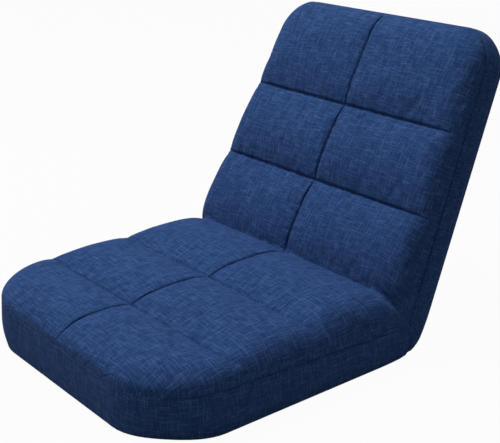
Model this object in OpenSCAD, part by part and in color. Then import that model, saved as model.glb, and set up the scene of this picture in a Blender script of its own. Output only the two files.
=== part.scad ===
// Folding floor chair: a padded seat and a padded back on steel tube frames,
// joined by a ratchet hinge on each side under one quilted fabric cover.
// Millimetres. The chair faces -Y, +X is on the right seen from the front, +Z is up.
// The origin is the centre of the seat's underside, on the floor.
// Each pad is drawn in its own frame: x across, y along it from the hinge axis, z above that axis.

/* [Seat pad] */
// Width of the seat, and of the back at its foot
seat_w = 540; // [500:5:580]
// Length from the front face to the hinge axis
seat_l = 505; // [470:5:540]
// Radius of the front corners seen from above
seat_corner_r = 120; // [80:5:140]
// Height of the boxing seam over the floor at the front
seat_seam_front_h = 77; // [66:1:84]
// Height of the seat's crown over the floor at the crease
seat_crown_rear_h = 132; // [128:1:134]
// Height of the seat's crown over the floor at the front
seat_crown_front_h = 113; // [106:1:116]
// Distance from the hinge axis to the rear cross seam
seat_seam_1 = 215; // [208:1:230]
// Distance from the hinge axis to the front cross seam
seat_seam_2 = 369; // [350:1:385]

/* [Back pad] */
// Amount by which the back is narrower at its top
back_taper = 60; // [0:5:80]
// Length from the hinge axis to the top edge
back_l = 507; // [480:5:540]
// Radius of the top corners
back_corner_r = 66; // [50:2:90]
// Depth of the rear face behind the hinge axis
back_rear_d = 21; // [21:1:24]
// Height of the boxing seam over the hinge axis at the top
back_seam_top_h = 25; // [22:1:30]
// Height of the crown over the hinge axis at the crease
back_crown_low_h = 98; // [92:1:100]
// Height of the crown over the hinge axis at the top
back_crown_top_h = 60; // [52:1:66]
// Depth of the crown's dip below a straight line at mid length
back_crown_sag = 4; // [0:1:8]
// Distance from the hinge axis to the lower cross seam
back_seam_1 = 187; // [180:1:200]
// Distance from the hinge axis to the upper cross seam
back_seam_2 = 329; // [315:1:345]

/* [Quilting] */
// Height of the boxing seam over the hinge axis where seat and back meet
mitre_h = 21.5; // [19:0.5:24]
// Height of the crease over the hinge axis in the middle
crease_h = 74; // [66:1:78]
// Width of the rounded shoulder inside the boxing seam
shoulder_w = 52; // [36:2:70]
// Squareness of the seat's shoulder, where 2 is a round one
seat_fullness = 2.1; // [1.8:0.1:2.8]
// Squareness of the back's shoulder beside the crease
back_fullness_low = 2.8; // [2:0.1:3.2]
// Squareness of the back's shoulder at the top
back_fullness_top = 1.8; // [1.6:0.1:2.4]
// Share of the crown that lies in the shoulder
shoulder_share = 0.88; // [0.8:0.01:0.95]
// Rise of the seat's panels over their seams beside the crease
seat_puff_rear = 20; // [14:0.5:22]
// Rise of the seat's panels over their seams at the front
seat_puff_front = 15; // [10:0.5:18]
// Rise of the back's panels over their seams beside the crease
back_puff_low = 22; // [16:0.5:24]
// Rise of the back's panels over their seams at the top
back_puff_top = 14; // [9:0.5:17]
// Distance over which a panel rises beside a seam
puff_w = 24; // [16:1:30]
// Share of the rise that the centre seam takes away
centre_share = 0.4; // [0.3:0.05:0.7]
// Share of the rise that a cross seam takes away
row_share = 0.8; // [0.5:0.05:0.9]
// Depth to which the centre seam is drawn in at the crease
crease_tuft = 4; // [2:0.5:6]
// Distance over which the cloth rises again beside the crease
crease_w = 22; // [12:1:30]
// Thickness of the quilted cover
cover_t = 3; // [2:0.5:4]
// Thickness of the plain cloth on the sides, underside and rear
cloth_t = 1.5; // [1:0.25:2]
// Radius of the lower edge of the side band
edge_r = 12; // [8:1:16]
// Gap between separate soft layers
layer_gap = 0.3; // [0.2:0.05:0.5]
// Distance from the hinge axis to where the stiff bands and panels start
gusset_l = 72; // [68:1:90]

/* [Foam] */
// Distance from the hinge axis to where the stiff foam starts
foam_start = 50; // [50:1:60]
// Distance from the near cross seam to where the soft foam of the crease ends
crease_foam_end = 9; // [6:1:16]
// Thickness of the soft foam where it runs out over the stiff foam
crease_foam_t = 6; // [4:1:10]

/* [Frame] */
// Outer diameter of the frame tubes
tube_d = 20; // [19:0.5:21]
// Wall of the frame tubes
tube_wall = 1.5; // [1.2:0.1:1.6]
// Distance from the side of the seat to the centre of a side tube
frame_inset = 65; // [60:1:80]
// Distance from the front face or top edge to the frame
frame_margin = 55; // [50:5:80]
// Bend radius of the seat frame
seat_bend_r = 90; // [70:5:110]
// Bend radius of the back frame
back_bend_r = 70; // [60:5:90]
// Distance from the hinge axis to the open ends of the tubes
tube_start = 30; // [30:1:34]
// Outer diameter of the cross bars
bar_d = 16; // [14:0.5:17]
// Wall of the cross bars
bar_wall = 1.2; // [1:0.1:1.5]
// Distance from the hinge axis to the near cross bar of each frame
bar_1 = 130; // [110:5:150]
// Distance from the hinge axis to the far cross bar of each frame
bar_2 = 300; // [260:5:330]
// Gap left for the weld at each end of a cross bar
weld_gap = 0.1; // [0.05:0.05:0.2]

/* [Ratchet hinge] */
// Height of the hinge axis over the floor
hinge_h = 35; // [34:0.5:38]
// Angle between seat and back as the chair stands
rest_angle = 115; // [102:6.5:121.5]
// Number of locking positions
positions = 14; // [10:1:15]
// Angle between two locking positions
pitch_angle = 6.5; // [6:0.5:7]
// Angle at which the back is folded down over the seat
fold_angle = 40; // [40:1:50]
// Radius of the tooth tips
tooth_tip_r = 21.5; // [21:0.1:22]
// Radius of the tooth roots
tooth_root_r = 18.6; // [18:0.1:19]
// Width of a tooth gap at its root
gap_root_w = 1.1; // [0.9:0.1:1.2]
// Width of a tooth gap at the tips
gap_tip_w = 1.95; // [1.8:0.05:2.1]
// Thickness of the ratchet plate
plate_t = 4; // [3:0.5:4]
// Width of the ratchet plate's arm
plate_arm_w = 16; // [12:0.5:16]
// Thickness of each cheek
cheek_t = 2.5; // [2:0.25:2.5]
// Radius of a cheek round the pivot
cheek_r = 18.5; // [16:0.5:19]
// Width of a cheek's arm
cheek_arm_w = 13.5; // [11:0.5:13.5]
// Distance from the hinge axis to the end of each arm
arm_l = 72; // [68:1:80]
// Running gap between a cheek and the ratchet plate
cheek_gap = 0.15; // [0.1:0.05:0.2]
// Diameter of the pivot
pivot_d = 8; // [6:0.5:9]
// Diameter of a pivot head
pivot_head_d = 14; // [12:0.5:16]
// Thickness of a pivot head
pivot_head_t = 2.2; // [1.5:0.1:3]
// Running clearance on a radius
run_gap = 0.05; // [0.02:0.01:0.08]
// Diameter of the rivets in the arms
rivet_d = 5; // [4:0.5:5.5]
// Diameter of a rivet head
rivet_head_d = 9; // [8:0.5:10]
// Thickness of a rivet head
rivet_head_t = 1.8; // [1.2:0.1:2.2]
// Distance from the hinge axis to the near rivet of an arm
rivet_1 = 48; // [46:1:50]
// Distance from the hinge axis to the far rivet of an arm
rivet_2 = 62; // [60:1:64]

/* [Pawl] */
// Diameter of the pawl pin
pawl_pin_d = 4; // [3.5:0.25:4.5]
// Radius of the pawl round its pin
pawl_boss_r = 3.6; // [3.4:0.1:3.8]
// Angle of the pawl's nose from the back tube, towards the front
nose_angle = 8; // [6:1:10]
// Angle of the pawl pin from the back tube, towards the rear
pawl_pin_angle = 25.5; // [24:0.5:27]
// Gap between the raised pawl and the tooth tips
pawl_lift = 0.4; // [0.3:0.05:0.6]
// Width of the pawl's nose at its tip
nose_w = 0.8; // [0.6:0.1:0.9]
// Gap between the pawl and a cheek
pawl_gap = 0.25; // [0.15:0.05:0.35]
// Radius of the cheek's ear round the pawl pin
ear_r = 5; // [4.5:0.1:5.2]
// Length of the narrow nose of the pawl
nose_l = 2.2; // [2:0.1:2.4]
// Length of the pawl's body beyond its nose
pawl_body_l = 3.4; // [3:0.1:3.6]
// Diameter of the riveted ends of the pawl pin
pin_head_d = 6; // [5:0.5:7]
// Thickness of the riveted ends of the pawl pin
pin_head_t = 1; // [0.8:0.1:1.2]
// Thickness of the spring strip
spring_t = 0.6; // [0.4:0.1:0.8]
// Rise of the spring strip's bow
spring_bow = 1.6; // [1.2:0.1:1.8]

/* [Zip] */
// Length of the zip in the seat's underside
zip_l = 360; // [300:10:400]
// Distance from the hinge axis to the zip
zip_y = 100; // [90:5:110]
// Width of the opening in the underside along the zip
zip_slot_w = 12; // [10:0.5:14]
// Width of each side of the zip tape
zip_tape_w = 4.5; // [3.5:0.5:5]
// Gap between the two sides of the tape
zip_gap = 2.2; // [2:0.1:3]
// Thickness of the tape with its teeth
zip_tape_t = 1.2; // [1:0.1:1.5]
// Height of the tape over the floor
zip_tape_h = 2.6; // [2.4:0.1:3]
// Length of the slider
slider_l = 12; // [9:0.5:14]
// Thickness of the slider's plates
slider_t = 1; // [0.8:0.1:1.2]
// Distance from an end of the zip to the slider's middle, with the zip open or closed
slider_end = 20; // [12:1:40]
// Length of the stop at each end of the zip
zip_stop_l = 3; // [2:0.5:4]
// Length of tape that lies over the underside cloth at each end
zip_lap = 4; // [3:0.5:6]

/* [Colours] */
// Face cloth
cloth_color = [0.16, 0.26, 0.45];
// Underside cloth
underside_color = [0.09, 0.10, 0.12];
// Foam
foam_color = [0.93, 0.88, 0.68];
// Painted steel tube
tube_color = [0.12, 0.12, 0.13];
// Zinc plated steel
zinc_color = [0.72, 0.73, 0.75];
// Zip
zip_color = [0.08, 0.09, 0.13];

/* [Hidden] */
$fn = 48;

half_w = seat_w / 2;
hinge_y = seat_l / 2;
tube_r = tube_d / 2;
bore_r = tube_r - tube_wall;
bar_r = bar_d / 2;
back_top_w = seat_w - back_taper;
frame_w = seat_w - 2 * frame_inset;
side_x = frame_w / 2;
zip_travel = zip_l - 2 * slider_end;
half_angle = rest_angle / 2;
// Angle at which the back lies flat
flat_angle = 180;
// Height of the seat's underside, from the hinge axis
seat_bottom = -hinge_h;
// Distance by which a round piece runs into the one drawn on its end
lap = 0.5;
// Distance from the hinge axis to the edge of the underside cloth
panel_start = 10;
// The stiff foam stays below this angle over its pad's middle plane
clear_slope = tan(fold_angle / 2);
pivot_r = pivot_d / 2;
rivet_r = rivet_d / 2;
pin_r = pawl_pin_d / 2;
pawl_t = plate_t + 2 * cheek_gap - 2 * pawl_gap;
// The pawl's pin keeps its boss just outside the tooth tips
pawl_pin_radius = tooth_tip_r + pawl_lift + pawl_boss_r;
pawl_pin_at = pawl_pin_radius * [cos(pawl_pin_angle), -sin(pawl_pin_angle)];
nose_at = (tooth_tip_r + pawl_lift) * [cos(nose_angle), sin(nose_angle)];
cheek_out = plate_t / 2 + cheek_gap + cheek_t;
// Angle of the tooth gap that holds the pawl when the back lies flat
first_gap = flat_angle - nose_angle;
last_gap = first_gap - (positions - 1) * pitch_angle;
foam_z = tube_r + layer_gap;
skin_drop = cover_t + layer_gap;
foam_inset = cloth_t + 3 * layer_gap;

// A pad's data: half widths at the foot and at the far end, length, corner radius,
// seam heights at the foot and at the end, crown heights at the foot and at the end,
// dip of the crown at mid length, its two cross seams, the rise of its panels at the foot and end,
// and the squareness of its shoulder at the foot and end
SEAT = [half_w, half_w, seat_l, seat_corner_r, mitre_h, seat_seam_front_h - hinge_h,
    seat_crown_rear_h - hinge_h, seat_crown_front_h - hinge_h, 0, seat_seam_1, seat_seam_2,
    seat_puff_rear, seat_puff_front, seat_fullness, seat_fullness];
BACK = [half_w, back_top_w / 2, back_l, back_corner_r, mitre_h, back_seam_top_h,
    back_crown_low_h, back_crown_top_h, back_crown_sag, back_seam_1, back_seam_2,
    back_puff_low, back_puff_top, back_fullness_low, back_fullness_top];

function pad_len(pad) = pad[2];
function pad_r(pad) = pad[3];
function seam_1(pad) = pad[9];
function seam_2(pad) = pad[10];
function mix(a, b, t) = a + (b - a) * t;
function side_at(pad, y) = mix(pad[0], pad[1], y / pad_len(pad));
function seam_h(pad, y) = mix(pad[4], pad[5], y / pad_len(pad));
function crown_h(pad, y) = let(t = y / pad_len(pad)) mix(pad[6], pad[7], t) - 4 * pad[8] * t * (1 - t);

// Half width of the pad's outline at y, drawn in by the corners
function half_at(pad, y) =
    let(r = pad_r(pad), past = y - (pad_len(pad) - r))
    let(cut = past > 0 ? r - sqrt(max(0, r * r - past * past)) : 0)
    (pad[0] - cut) * side_at(pad, y) / pad[0];

// Distance from a point to the pad's outline
function rim_distance(pad, x, y) =
    let(r = pad_r(pad))
    let(dx = pad[0] - abs(x) * pad[0] / side_at(pad, y), dy = pad_len(pad) - y)
    dx < r && dy < r ? max(0, r - norm([r - dx, r - dy])) : min(dx, dy);

// Share of the crown's height at a distance from the rim: a round shoulder and a slow rise
function dome(s, fullness) =
    let(a = 1 - max(0, min(s / shoulder_w, 1)), b = 1 - max(0, min(s / half_w, 1)))
    shoulder_share * pow(1 - pow(a, fullness), 1 / fullness) + (1 - shoulder_share) * (1 - b * b);

// Depth to which the centre seam and the nearest cross seam draw the cloth in
function tuft(pad, x, y) =
    let(across = min(abs(y - seam_1(pad)), abs(y - seam_2(pad))))
    let(centre = centre_share * exp(-abs(x) / puff_w), row = row_share * exp(-across / puff_w))
    mix(pad[11], pad[12], y / pad_len(pad)) * (1 - (1 - centre) * (1 - row));

// Height of the quilted face before the crease draws it in
function plain_face(pad, x, y) =
    let(share = dome(rim_distance(pad, x, y), mix(pad[13], pad[14], y / pad_len(pad))))
    seam_h(pad, y) + (crown_h(pad, y) - seam_h(pad, y) - tuft(pad, x, y)) * share;

// The crease lies in the plane halfway between seat and back
function crease_z(x) =
    mitre_h + (crease_h - mitre_h - crease_tuft * exp(-abs(x) / puff_w)) * dome(half_w - abs(x), 2);
function crease_y(x) = crease_z(x) / tan(half_angle);

// Height of the quilted face of a pad
function face_z(pad, x, y) =
    let(foot_x = x * half_w / side_at(pad, y), yc = crease_y(foot_x))
    let(drop = plain_face(pad, foot_x * side_at(pad, yc) / half_w, yc) - crease_z(foot_x))
    plain_face(pad, x, y) - drop * exp(-(y - yc) / crease_w);

// Stations across a pad, as shares of its half width
half_shares = [0.03, 0.09, 0.25, 0.5, 0.72, 0.85, 0.92, 0.965, 0.99, 1];
cross_shares = concat([for (i = [len(half_shares) - 1:-1:0]) -half_shares[i]], [0], half_shares);
row_shares = [0, 0.05, 0.15, 0.35, 0.65, 0.85, 0.95, 1];
soft_shares = [0, 0.06, 0.15, 0.35, 0.6, 0.85, 1];
seam_shares = [0.4, 0.75, 1];
end_shares = [0, 0.05, 0.15, 0.35, 0.6, 0.76, 0.87, 0.94, 0.98, 1];

function row_ys(a, b, shares) = [for (s = shares) mix(a, b, s)];
function soft_end(pad) = seam_1(pad) - crease_foam_end;
function seam_rows(pad) = row_ys(soft_end(pad), seam_1(pad) - layer_gap / 2, seam_shares);
function far_rows(pad) = concat(
    row_ys(seam_1(pad) + layer_gap / 2, seam_2(pad), row_shares),
    [for (i = [1:len(end_shares) - 1]) mix(seam_2(pad), pad_len(pad), end_shares[i])]);

// Faces of a closed sheet: an upper and a lower grid of the same size, and the wall between them
function sheet_faces(rows, cols) =
    let(low = rows * cols, last = rows - 1, end = cols - 1)
    concat(
        [for (i = [0:last - 1]) for (j = [0:end - 1]) let(k = i * cols + j) each
            [[k, k + cols, k + cols + 1], [k, k + cols + 1, k + 1]]],
        [for (i = [0:last - 1]) for (j = [0:end - 1]) let(k = low + i * cols + j) each
            [[k, k + cols + 1, k + cols], [k, k + 1, k + cols + 1]]],
        [for (j = [0:end - 1]) each [[j, j + 1, low + j + 1], [j, low + j + 1, low + j]]],
        [for (j = [0:end - 1]) let(k = last * cols + j) each
            [[k, low + k, low + k + 1], [k, low + k + 1, k + 1]]],
        [for (i = [0:last - 1]) let(k = i * cols) each
            [[k, low + k, low + k + cols], [k, low + k + cols, k + cols]]],
        [for (i = [0:last - 1]) let(k = i * cols + end) each
            [[k, k + cols, low + k + cols], [k, low + k + cols, low + k]]]);

// A sheet between two grids of points, each a list of rows
module sheet(upper, lower) {
    rows = len(upper);
    cols = len(upper[0]);
    points = concat([for (r = upper) each r], [for (r = lower) each r]);
    polyhedron(points, sheet_faces(rows, cols), convexity = 6);
}

// A block between a grid of points above and a flat face below, which is laid in strips
module block(upper, floor_z) {
    rows = len(upper);
    cols = len(upper[0]);
    last = rows - 1;
    end = cols - 1;
    grid = [for (r = upper) each r];
    low = len(grid);
    // The lower points: the first row, the two ends of each row between, the last row
    ends = [for (i = [1:last - 1]) for (j = [0, end]) i * cols + j];
    first = [for (j = [0:end]) j];
    final = [for (j = [0:end]) last * cols + j];
    feet = concat(first, ends, final);
    points = concat(grid, [for (k = feet) [grid[k][0], grid[k][1], floor_z]]);
    // Index of the lower point at either end of a row
    function left(i) = low + (i == 0 ? 0 : cols + 2 * (i - 1));
    function right(i) = i == 0 ? low + end : i == last ? left(i) + end : left(i) + 1;
    faces = concat(
        [for (i = [0:last - 1]) for (j = [0:end - 1]) let(k = i * cols + j) each
            [[k, k + cols, k + cols + 1], [k, k + cols + 1, k + 1]]],
        [for (j = [0:end - 1]) let(m = low + j) each [[j, j + 1, m + 1], [j, m + 1, m]]],
        [for (j = [0:end - 1]) let(k = last * cols + j, m = left(last) + j) each
            [[k, m, m + 1], [k, m + 1, k + 1]]],
        [for (i = [0:last - 1]) let(k = i * cols) each
            [[k, left(i), left(i + 1)], [k, left(i + 1), k + cols]]],
        [for (i = [0:last - 1]) let(k = i * cols + end) each
            [[k, k + cols, right(i + 1)], [k, right(i + 1), right(i)]]],
        [for (j = [0:end - 1]) [left(1), low + j, low + j + 1]],
        [[left(1), right(0), right(1)]],
        [for (i = [1:last - 2]) each
            [[left(i), right(i), right(i + 1)], [left(i), right(i + 1), left(i + 1)]]],
        [[left(last - 1), right(last - 1), right(last)]],
        [for (j = [0:end - 1]) [left(last - 1), left(last) + j + 1, left(last) + j]]);
    polyhedron(points, faces, convexity = 6);
}

// Puts a pad's own frame in place
module in_seat() {
    translate([0, hinge_y, hinge_h]) mirror([0, 1, 0]) children();
}
module in_back() {
    translate([0, hinge_y, hinge_h]) rotate([180 - rest_angle, 0, 0]) children();
}
module on_left() {
    mirror([1, 0, 0]) children();
}

// Point on a pad's outline at an angle round its far corner, moved in by inset
function rim_point(pad, a, inset) =
    let(r = pad_r(pad), y = pad_len(pad) - r + r * sin(a))
    [(pad[0] - r + r * cos(a)) * side_at(pad, y) / pad[0] - inset * cos(a), y - inset * sin(a)];

// Outline of a pad inside its rim, from start to the far end
corner_angles = [0:10:90];
function outline(pad, inset, start) =
    let(side = concat(
        [[side_at(pad, start) - inset, start]],
        [for (a = corner_angles) rim_point(pad, a, inset)]))
    concat(side, [for (i = [len(side) - 1:-1:0]) [-side[i][0], side[i][1]]]);

// A flat layer of a pad between two heights
module layer(pad, inset, start, low, high) {
    translate([0, 0, low]) linear_extrude(high - low) polygon(outline(pad, inset, start));
}

// Quilted cover of the two far rows
module far_cover(pad) {
    ys = far_rows(pad);
    upper = [for (y = ys) [for (s = cross_shares) let(x = s * half_at(pad, y)) [x, y, face_z(pad, x, y)]]];
    lower = [for (r = upper) [for (p = r) p - [0, 0, cover_t]]];
    sheet(upper, lower);
}

// Quilted cover of the row beside the crease
function near_point(pad, s, y) = let(x = s * side_at(pad, y)) [x, y, face_z(pad, x, y)];
module crease_cover(pad) {
    soft = [for (t = soft_shares) [for (s = cross_shares)
        near_point(pad, s, mix(crease_y(s * half_w) + layer_gap / 2, soft_end(pad), t))]];
    upper = concat(soft, [for (y = seam_rows(pad)) [for (s = cross_shares) near_point(pad, s, y)]]);
    lower = [for (r = upper) [for (p = r) p - [0, 0, cover_t]]];
    sheet(upper, lower);
}

// Top of the stiff foam under the soft foam of the crease
function wedge_z(pad, x, y) =
    min(y * clear_slope, face_z(pad, x, y) - skin_drop - crease_foam_t) - layer_gap;
function wedge_ys(pad) = row_ys(foam_start, soft_end(pad), [0, 0.25, 0.5, 0.75, 1]);
foam_share = (half_w - foam_inset) / half_w;

// Stiff upper foam of a pad, shaped under the quilted cover
module upper_foam(pad) {
    corner_start = pad_len(pad) - pad_r(pad);
    // Distance by which the far end is drawn in, growing round the corners
    function draw_in(y) = foam_inset * max(0, y - corner_start) / pad_r(pad);
    lip = soft_end(pad) + layer_gap;
    near = [for (y = concat(wedge_ys(pad), [lip])) [for (s = cross_shares) let(x = s * side_at(pad, y))
        [x * foam_share, y, wedge_z(pad, x, min(y, soft_end(pad)))]]];
    step = [for (y = concat([lip + layer_gap], seam_rows(pad))) [for (s = cross_shares)
        let(x = s * side_at(pad, y))
        [x * foam_share, y, min(y * clear_slope - layer_gap, face_z(pad, x, y) - skin_drop)]]];
    far = [for (y = far_rows(pad)) [for (s = cross_shares) let(x = s * half_at(pad, y))
        [x * foam_share, y - draw_in(y), face_z(pad, x, y) - skin_drop]]];
    block(concat(near, step, far), foam_z);
}

// Strip of cloth round a pad's rim, turned in below
module side_band(pad, low) {
    // One station is [outline point, inward direction]
    half = concat(
        [[[side_at(pad, gusset_l), gusset_l], [-1, 0]]],
        [for (a = corner_angles) [rim_point(pad, a, 0), [-cos(a), -sin(a)]]]);
    path = concat(half, [for (i = [len(half) - 1:-1:0])
        [[-half[i][0][0], half[i][0][1]], [-half[i][1][0], half[i][1][1]]]]);
    turn = [for (a = [0:30:90]) edge_r * [1 - cos(a), 1 - sin(a)]];
    inner = edge_r - cloth_t;
    turn_in = [for (a = [90:-30:0]) [edge_r - inner * cos(a), edge_r - inner * sin(a)]];
    // One profile point is [inset, height over the low side]
    function profile(y) = let(top = seam_h(pad, y) - skin_drop - low)
        concat([[0, top]], turn, turn_in, [[cloth_t, top]]);
    n = len(profile(0));
    points = [for (s = path) for (q = profile(s[0][1]))
        [s[0][0] + s[1][0] * q[0], s[0][1] + s[1][1] * q[0], low + q[1]]];
    count = len(path);
    faces = concat(
        [[for (k = [0:n - 1]) k]],
        [[for (k = [n - 1:-1:0]) (count - 1) * n + k]],
        [for (i = [0:count - 2]) for (k = [0:n - 1]) let(m = (k + 1) % n, a = i * n, b = (i + 1) * n)
            each [[a + k, b + m, a + m], [a + k, b + k, b + m]]]);
    polyhedron(points, faces, convexity = 8);
}

// A bent tube: two side legs, two bends and a run across
module u_rod(pad, bend_r, r, start) {
    far = pad_len(pad) - frame_margin;
    for (side = [0, 1]) mirror([side, 0, 0]) {
        translate([side_x, start, 0]) rotate([-90, 0, 0]) cylinder(h = far - bend_r - start, r = r);
        translate([side_x - bend_r, far - bend_r, 0])
            rotate_extrude(angle = 90) translate([bend_r, 0]) circle(r = r);
    }
    translate([bend_r - side_x, far, 0]) rotate([0, 90, 0]) cylinder(h = frame_w - 2 * bend_r, r = r);
}
module u_tube(pad, bend_r) {
    difference() {
        u_rod(pad, bend_r, tube_r, tube_start);
        u_rod(pad, bend_r, bore_r, tube_start - 1);
        for (y = [rivet_1, rivet_2]) across(y, rivet_r + run_gap, frame_w + 4 * tube_d);
    }
}

// A rod across the pad's middle plane
module across(y, r, length) {
    translate([-length / 2, y, 0]) rotate([0, 90, 0]) cylinder(h = length, r = r);
}
module cross_bar(y) {
    difference() {
        across(y, bar_r, frame_w);
        across(y, bar_r - bar_wall, frame_w + 1);
        for (side = [-1, 1]) translate([side * side_x, y - bar_d, 0])
            rotate([-90, 0, 0]) cylinder(h = 2 * bar_d, r = tube_r + weld_gap);
    }
}

// Foam that holds the frame, with a channel for every tube
module frame_foam(pad, bend_r, low) {
    difference() {
        union() {
            layer(pad, edge_r + foam_inset, foam_start, low, low + edge_r);
            layer(pad, foam_inset, foam_start, low + edge_r, tube_r);
        }
        u_rod(pad, bend_r, tube_r + layer_gap, tube_start);
        for (y = [bar_1, bar_2]) across(y, bar_r + layer_gap, frame_w);
        for (side = [-1, 1]) for (y = [rivet_1, rivet_2])
            translate([side * side_x, 0, 0])
                across(y, rivet_head_d / 2 + layer_gap, tube_d + 2 * rivet_head_t + 2);
    }
}

// A flat plate in the plane of the hinge, drawn as (along, above) and given its thickness across
module hinge_plate(x, t) {
    translate([x, 0, 0]) rotate([90, 0, 90]) linear_extrude(t) children();
}
module hinge_rod(at, r, from, to) {
    translate([from, at[0], at[1]]) rotate([0, 90, 0]) cylinder(h = to - from, r = r);
}
module disc_at(at, r) {
    translate(at) circle(r = r);
}

// Toothed plate fixed to the seat frame
module ratchet_plate() {
    reach = 2 * tooth_tip_r;
    from = last_gap - pitch_angle / 2;
    to = first_gap + pitch_angle;
    hinge_plate(side_x - plate_t / 2, plate_t) difference() {
        union() {
            circle(r = tooth_root_r);
            intersection() {
                circle(r = tooth_tip_r);
                polygon(concat([[0, 0]], [for (i = [0:4])
                    let(a = mix(from, to, i / 4)) reach * [cos(a), sin(a)]]));
            }
            translate([0, -plate_arm_w / 2]) square([arm_l, plate_arm_w]);
        }
        for (k = [0:positions - 1]) rotate(first_gap - k * pitch_angle)
            polygon([[tooth_root_r, -gap_root_w / 2], [tooth_tip_r, -gap_tip_w / 2],
                [reach, -gap_tip_w / 2], [reach, gap_tip_w / 2],
                [tooth_tip_r, gap_tip_w / 2], [tooth_root_r, gap_root_w / 2]]);
        circle(r = pivot_r + run_gap);
        for (y = [rivet_1, rivet_2]) disc_at([y, 0], rivet_r + run_gap);
    }
}

// Outline of a cheek: a disc, an arm for the back tube and an ear for the pawl pin
module cheek_shape() {
    ear = pawl_pin_at;
    difference() {
        union() {
            circle(r = cheek_r);
            translate([0, -cheek_arm_w / 2]) square([arm_l, cheek_arm_w]);
            disc_at(ear, ear_r);
            polygon([[0, -cheek_r], [ear[0], ear[1] - ear_r], [ear[0] + ear_r, ear[1]],
                [ear[0] + ear_r, 0], [0, 0]]);
        }
        circle(r = pivot_r + run_gap / 2);
        disc_at(ear, pin_r + run_gap / 2);
        for (y = [rivet_1, rivet_2]) disc_at([y, 0], rivet_r + run_gap);
    }
}
module cheeks() {
    for (x = [side_x - cheek_out, side_x + cheek_out - cheek_t]) hinge_plate(x, cheek_t) cheek_shape();
}
module pivot() {
    grip = cheek_out + 2 * run_gap;
    hinge_rod([0, 0], pivot_r, side_x - grip - lap, side_x + grip + lap);
    for (x = [side_x - grip - pivot_head_t, side_x + grip])
        hinge_rod([0, 0], pivot_head_d / 2, x, x + pivot_head_t);
}
module arm_rivets() {
    for (side = [0, 1]) mirror([side, 0, 0]) for (y = [rivet_1, rivet_2]) {
        hinge_rod([y, 0], rivet_r, side_x - tube_r - lap, side_x + tube_r + lap);
        for (x = [side_x - tube_r - rivet_head_t, side_x + tube_r])
            hinge_rod([y, 0], rivet_head_d / 2, x, x + rivet_head_t);
    }
}

// The pawl: a boss on its pin, a body along the tooth tips and a nose that points at the pivot
module pawl() {
    out = nose_at / norm(nose_at);
    side = [-out[1], out[0]];
    shoulder = nose_at + nose_l * out;
    far = shoulder + pawl_body_l * out;
    hinge_plate(side_x - pawl_t / 2, pawl_t) difference() {
        union() {
            disc_at(pawl_pin_at, pawl_boss_r);
            polygon([nose_at + side * nose_w / 2, nose_at - side * nose_w / 2,
                shoulder - side * nose_w * 1.5, pawl_pin_at + pawl_boss_r * [-0.6, 0.65],
                pawl_pin_at - [0, pin_r], pawl_pin_at + pawl_boss_r * [0.93, 0.2],
                far + out - side * nose_w, far + side * nose_w, shoulder + side * nose_w]);
        }
        disc_at(pawl_pin_at, pin_r + run_gap);
    }
}
module pawl_pin() {
    grip = cheek_out + run_gap;
    hinge_rod(pawl_pin_at, pin_r, side_x - grip - lap, side_x + grip + lap);
    for (x = [side_x - grip - pin_head_t, side_x + grip])
        hinge_rod(pawl_pin_at, pin_head_d / 2, x, x + pin_head_t);
}

// Leaf spring: an eye round the near rivet and a bowed strip that bears on the pawl
module pawl_spring() {
    eye_r = rivet_r + layer_gap;
    tip = nose_at + [nose_l + pawl_body_l + 2 * spring_t, 2 * spring_t];
    root = [rivet_1 - eye_r / 2, eye_r * 0.9];
    bow = (tip + root) / 2 + [0, spring_bow];
    hinge_plate(side_x - pawl_t / 2, pawl_t) difference() {
        union() {
            disc_at([rivet_1, 0], eye_r + spring_t);
            polygon([tip, tip - [0, spring_t], bow - [0, spring_t], root - [0, spring_t * 1.4], root, bow]);
        }
        disc_at([rivet_1, 0], eye_r);
    }
}

// Soft foam in the corner between seat and back, drawn as one ring at each station across the chair
function to_back(q) =
    let(c = cos(rest_angle), s = sin(rest_angle)) [-q[0] * c - q[1] * s, q[0] * s - q[1] * c];
function seat_side(q) = [-q[0], q[1]];
// Points of a ring are [x, y, z] in the pad's own frame
function soft_point(pad, s, y) = let(x = s * side_at(pad, y))
    [x * foam_share, y, face_z(pad, x, y) - skin_drop];
function soft_top(pad, s) = [for (i = [len(soft_shares) - 1:-1:1])
    soft_point(pad, s, mix(crease_y(s * half_w), soft_end(pad), soft_shares[i]))];
function soft_low(pad, s) = [for (y = wedge_ys(pad)) let(x = s * side_at(pad, y))
    [x * foam_share, y, wedge_z(pad, x, y) + layer_gap]];
function ring_seat(p) = [p[0], hinge_y - p[1], hinge_h + p[2]];
function ring_back(p) = let(q = to_back([p[1], p[2]])) [p[0], hinge_y + q[0], hinge_h + q[1]];
// The soft foam passes over the hinge plates at this height above either middle plane
soft_base_z = (tooth_tip_r + 2 * ear_r) * sin(half_angle);
function reversed(v) = [for (i = [len(v) - 1:-1:0]) v[i]];
function soft_ring(s) =
    let(x = s * half_w * foam_share, dip = crease_z(s * half_w) - 2 * cover_t)
    let(base = min(dip - crease_foam_t, soft_base_z))
    concat(
        [for (p = soft_top(SEAT, s)) ring_seat(p)],
        [ring_seat([x, dip / tan(half_angle), dip])],
        [for (p = reversed(soft_top(BACK, s))) ring_back(p)],
        [for (p = reversed(soft_low(BACK, s))) ring_back(p)],
        [ring_seat([x, base / tan(half_angle), base])],
        [for (p = soft_low(SEAT, s)) ring_seat(p)]);
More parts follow.
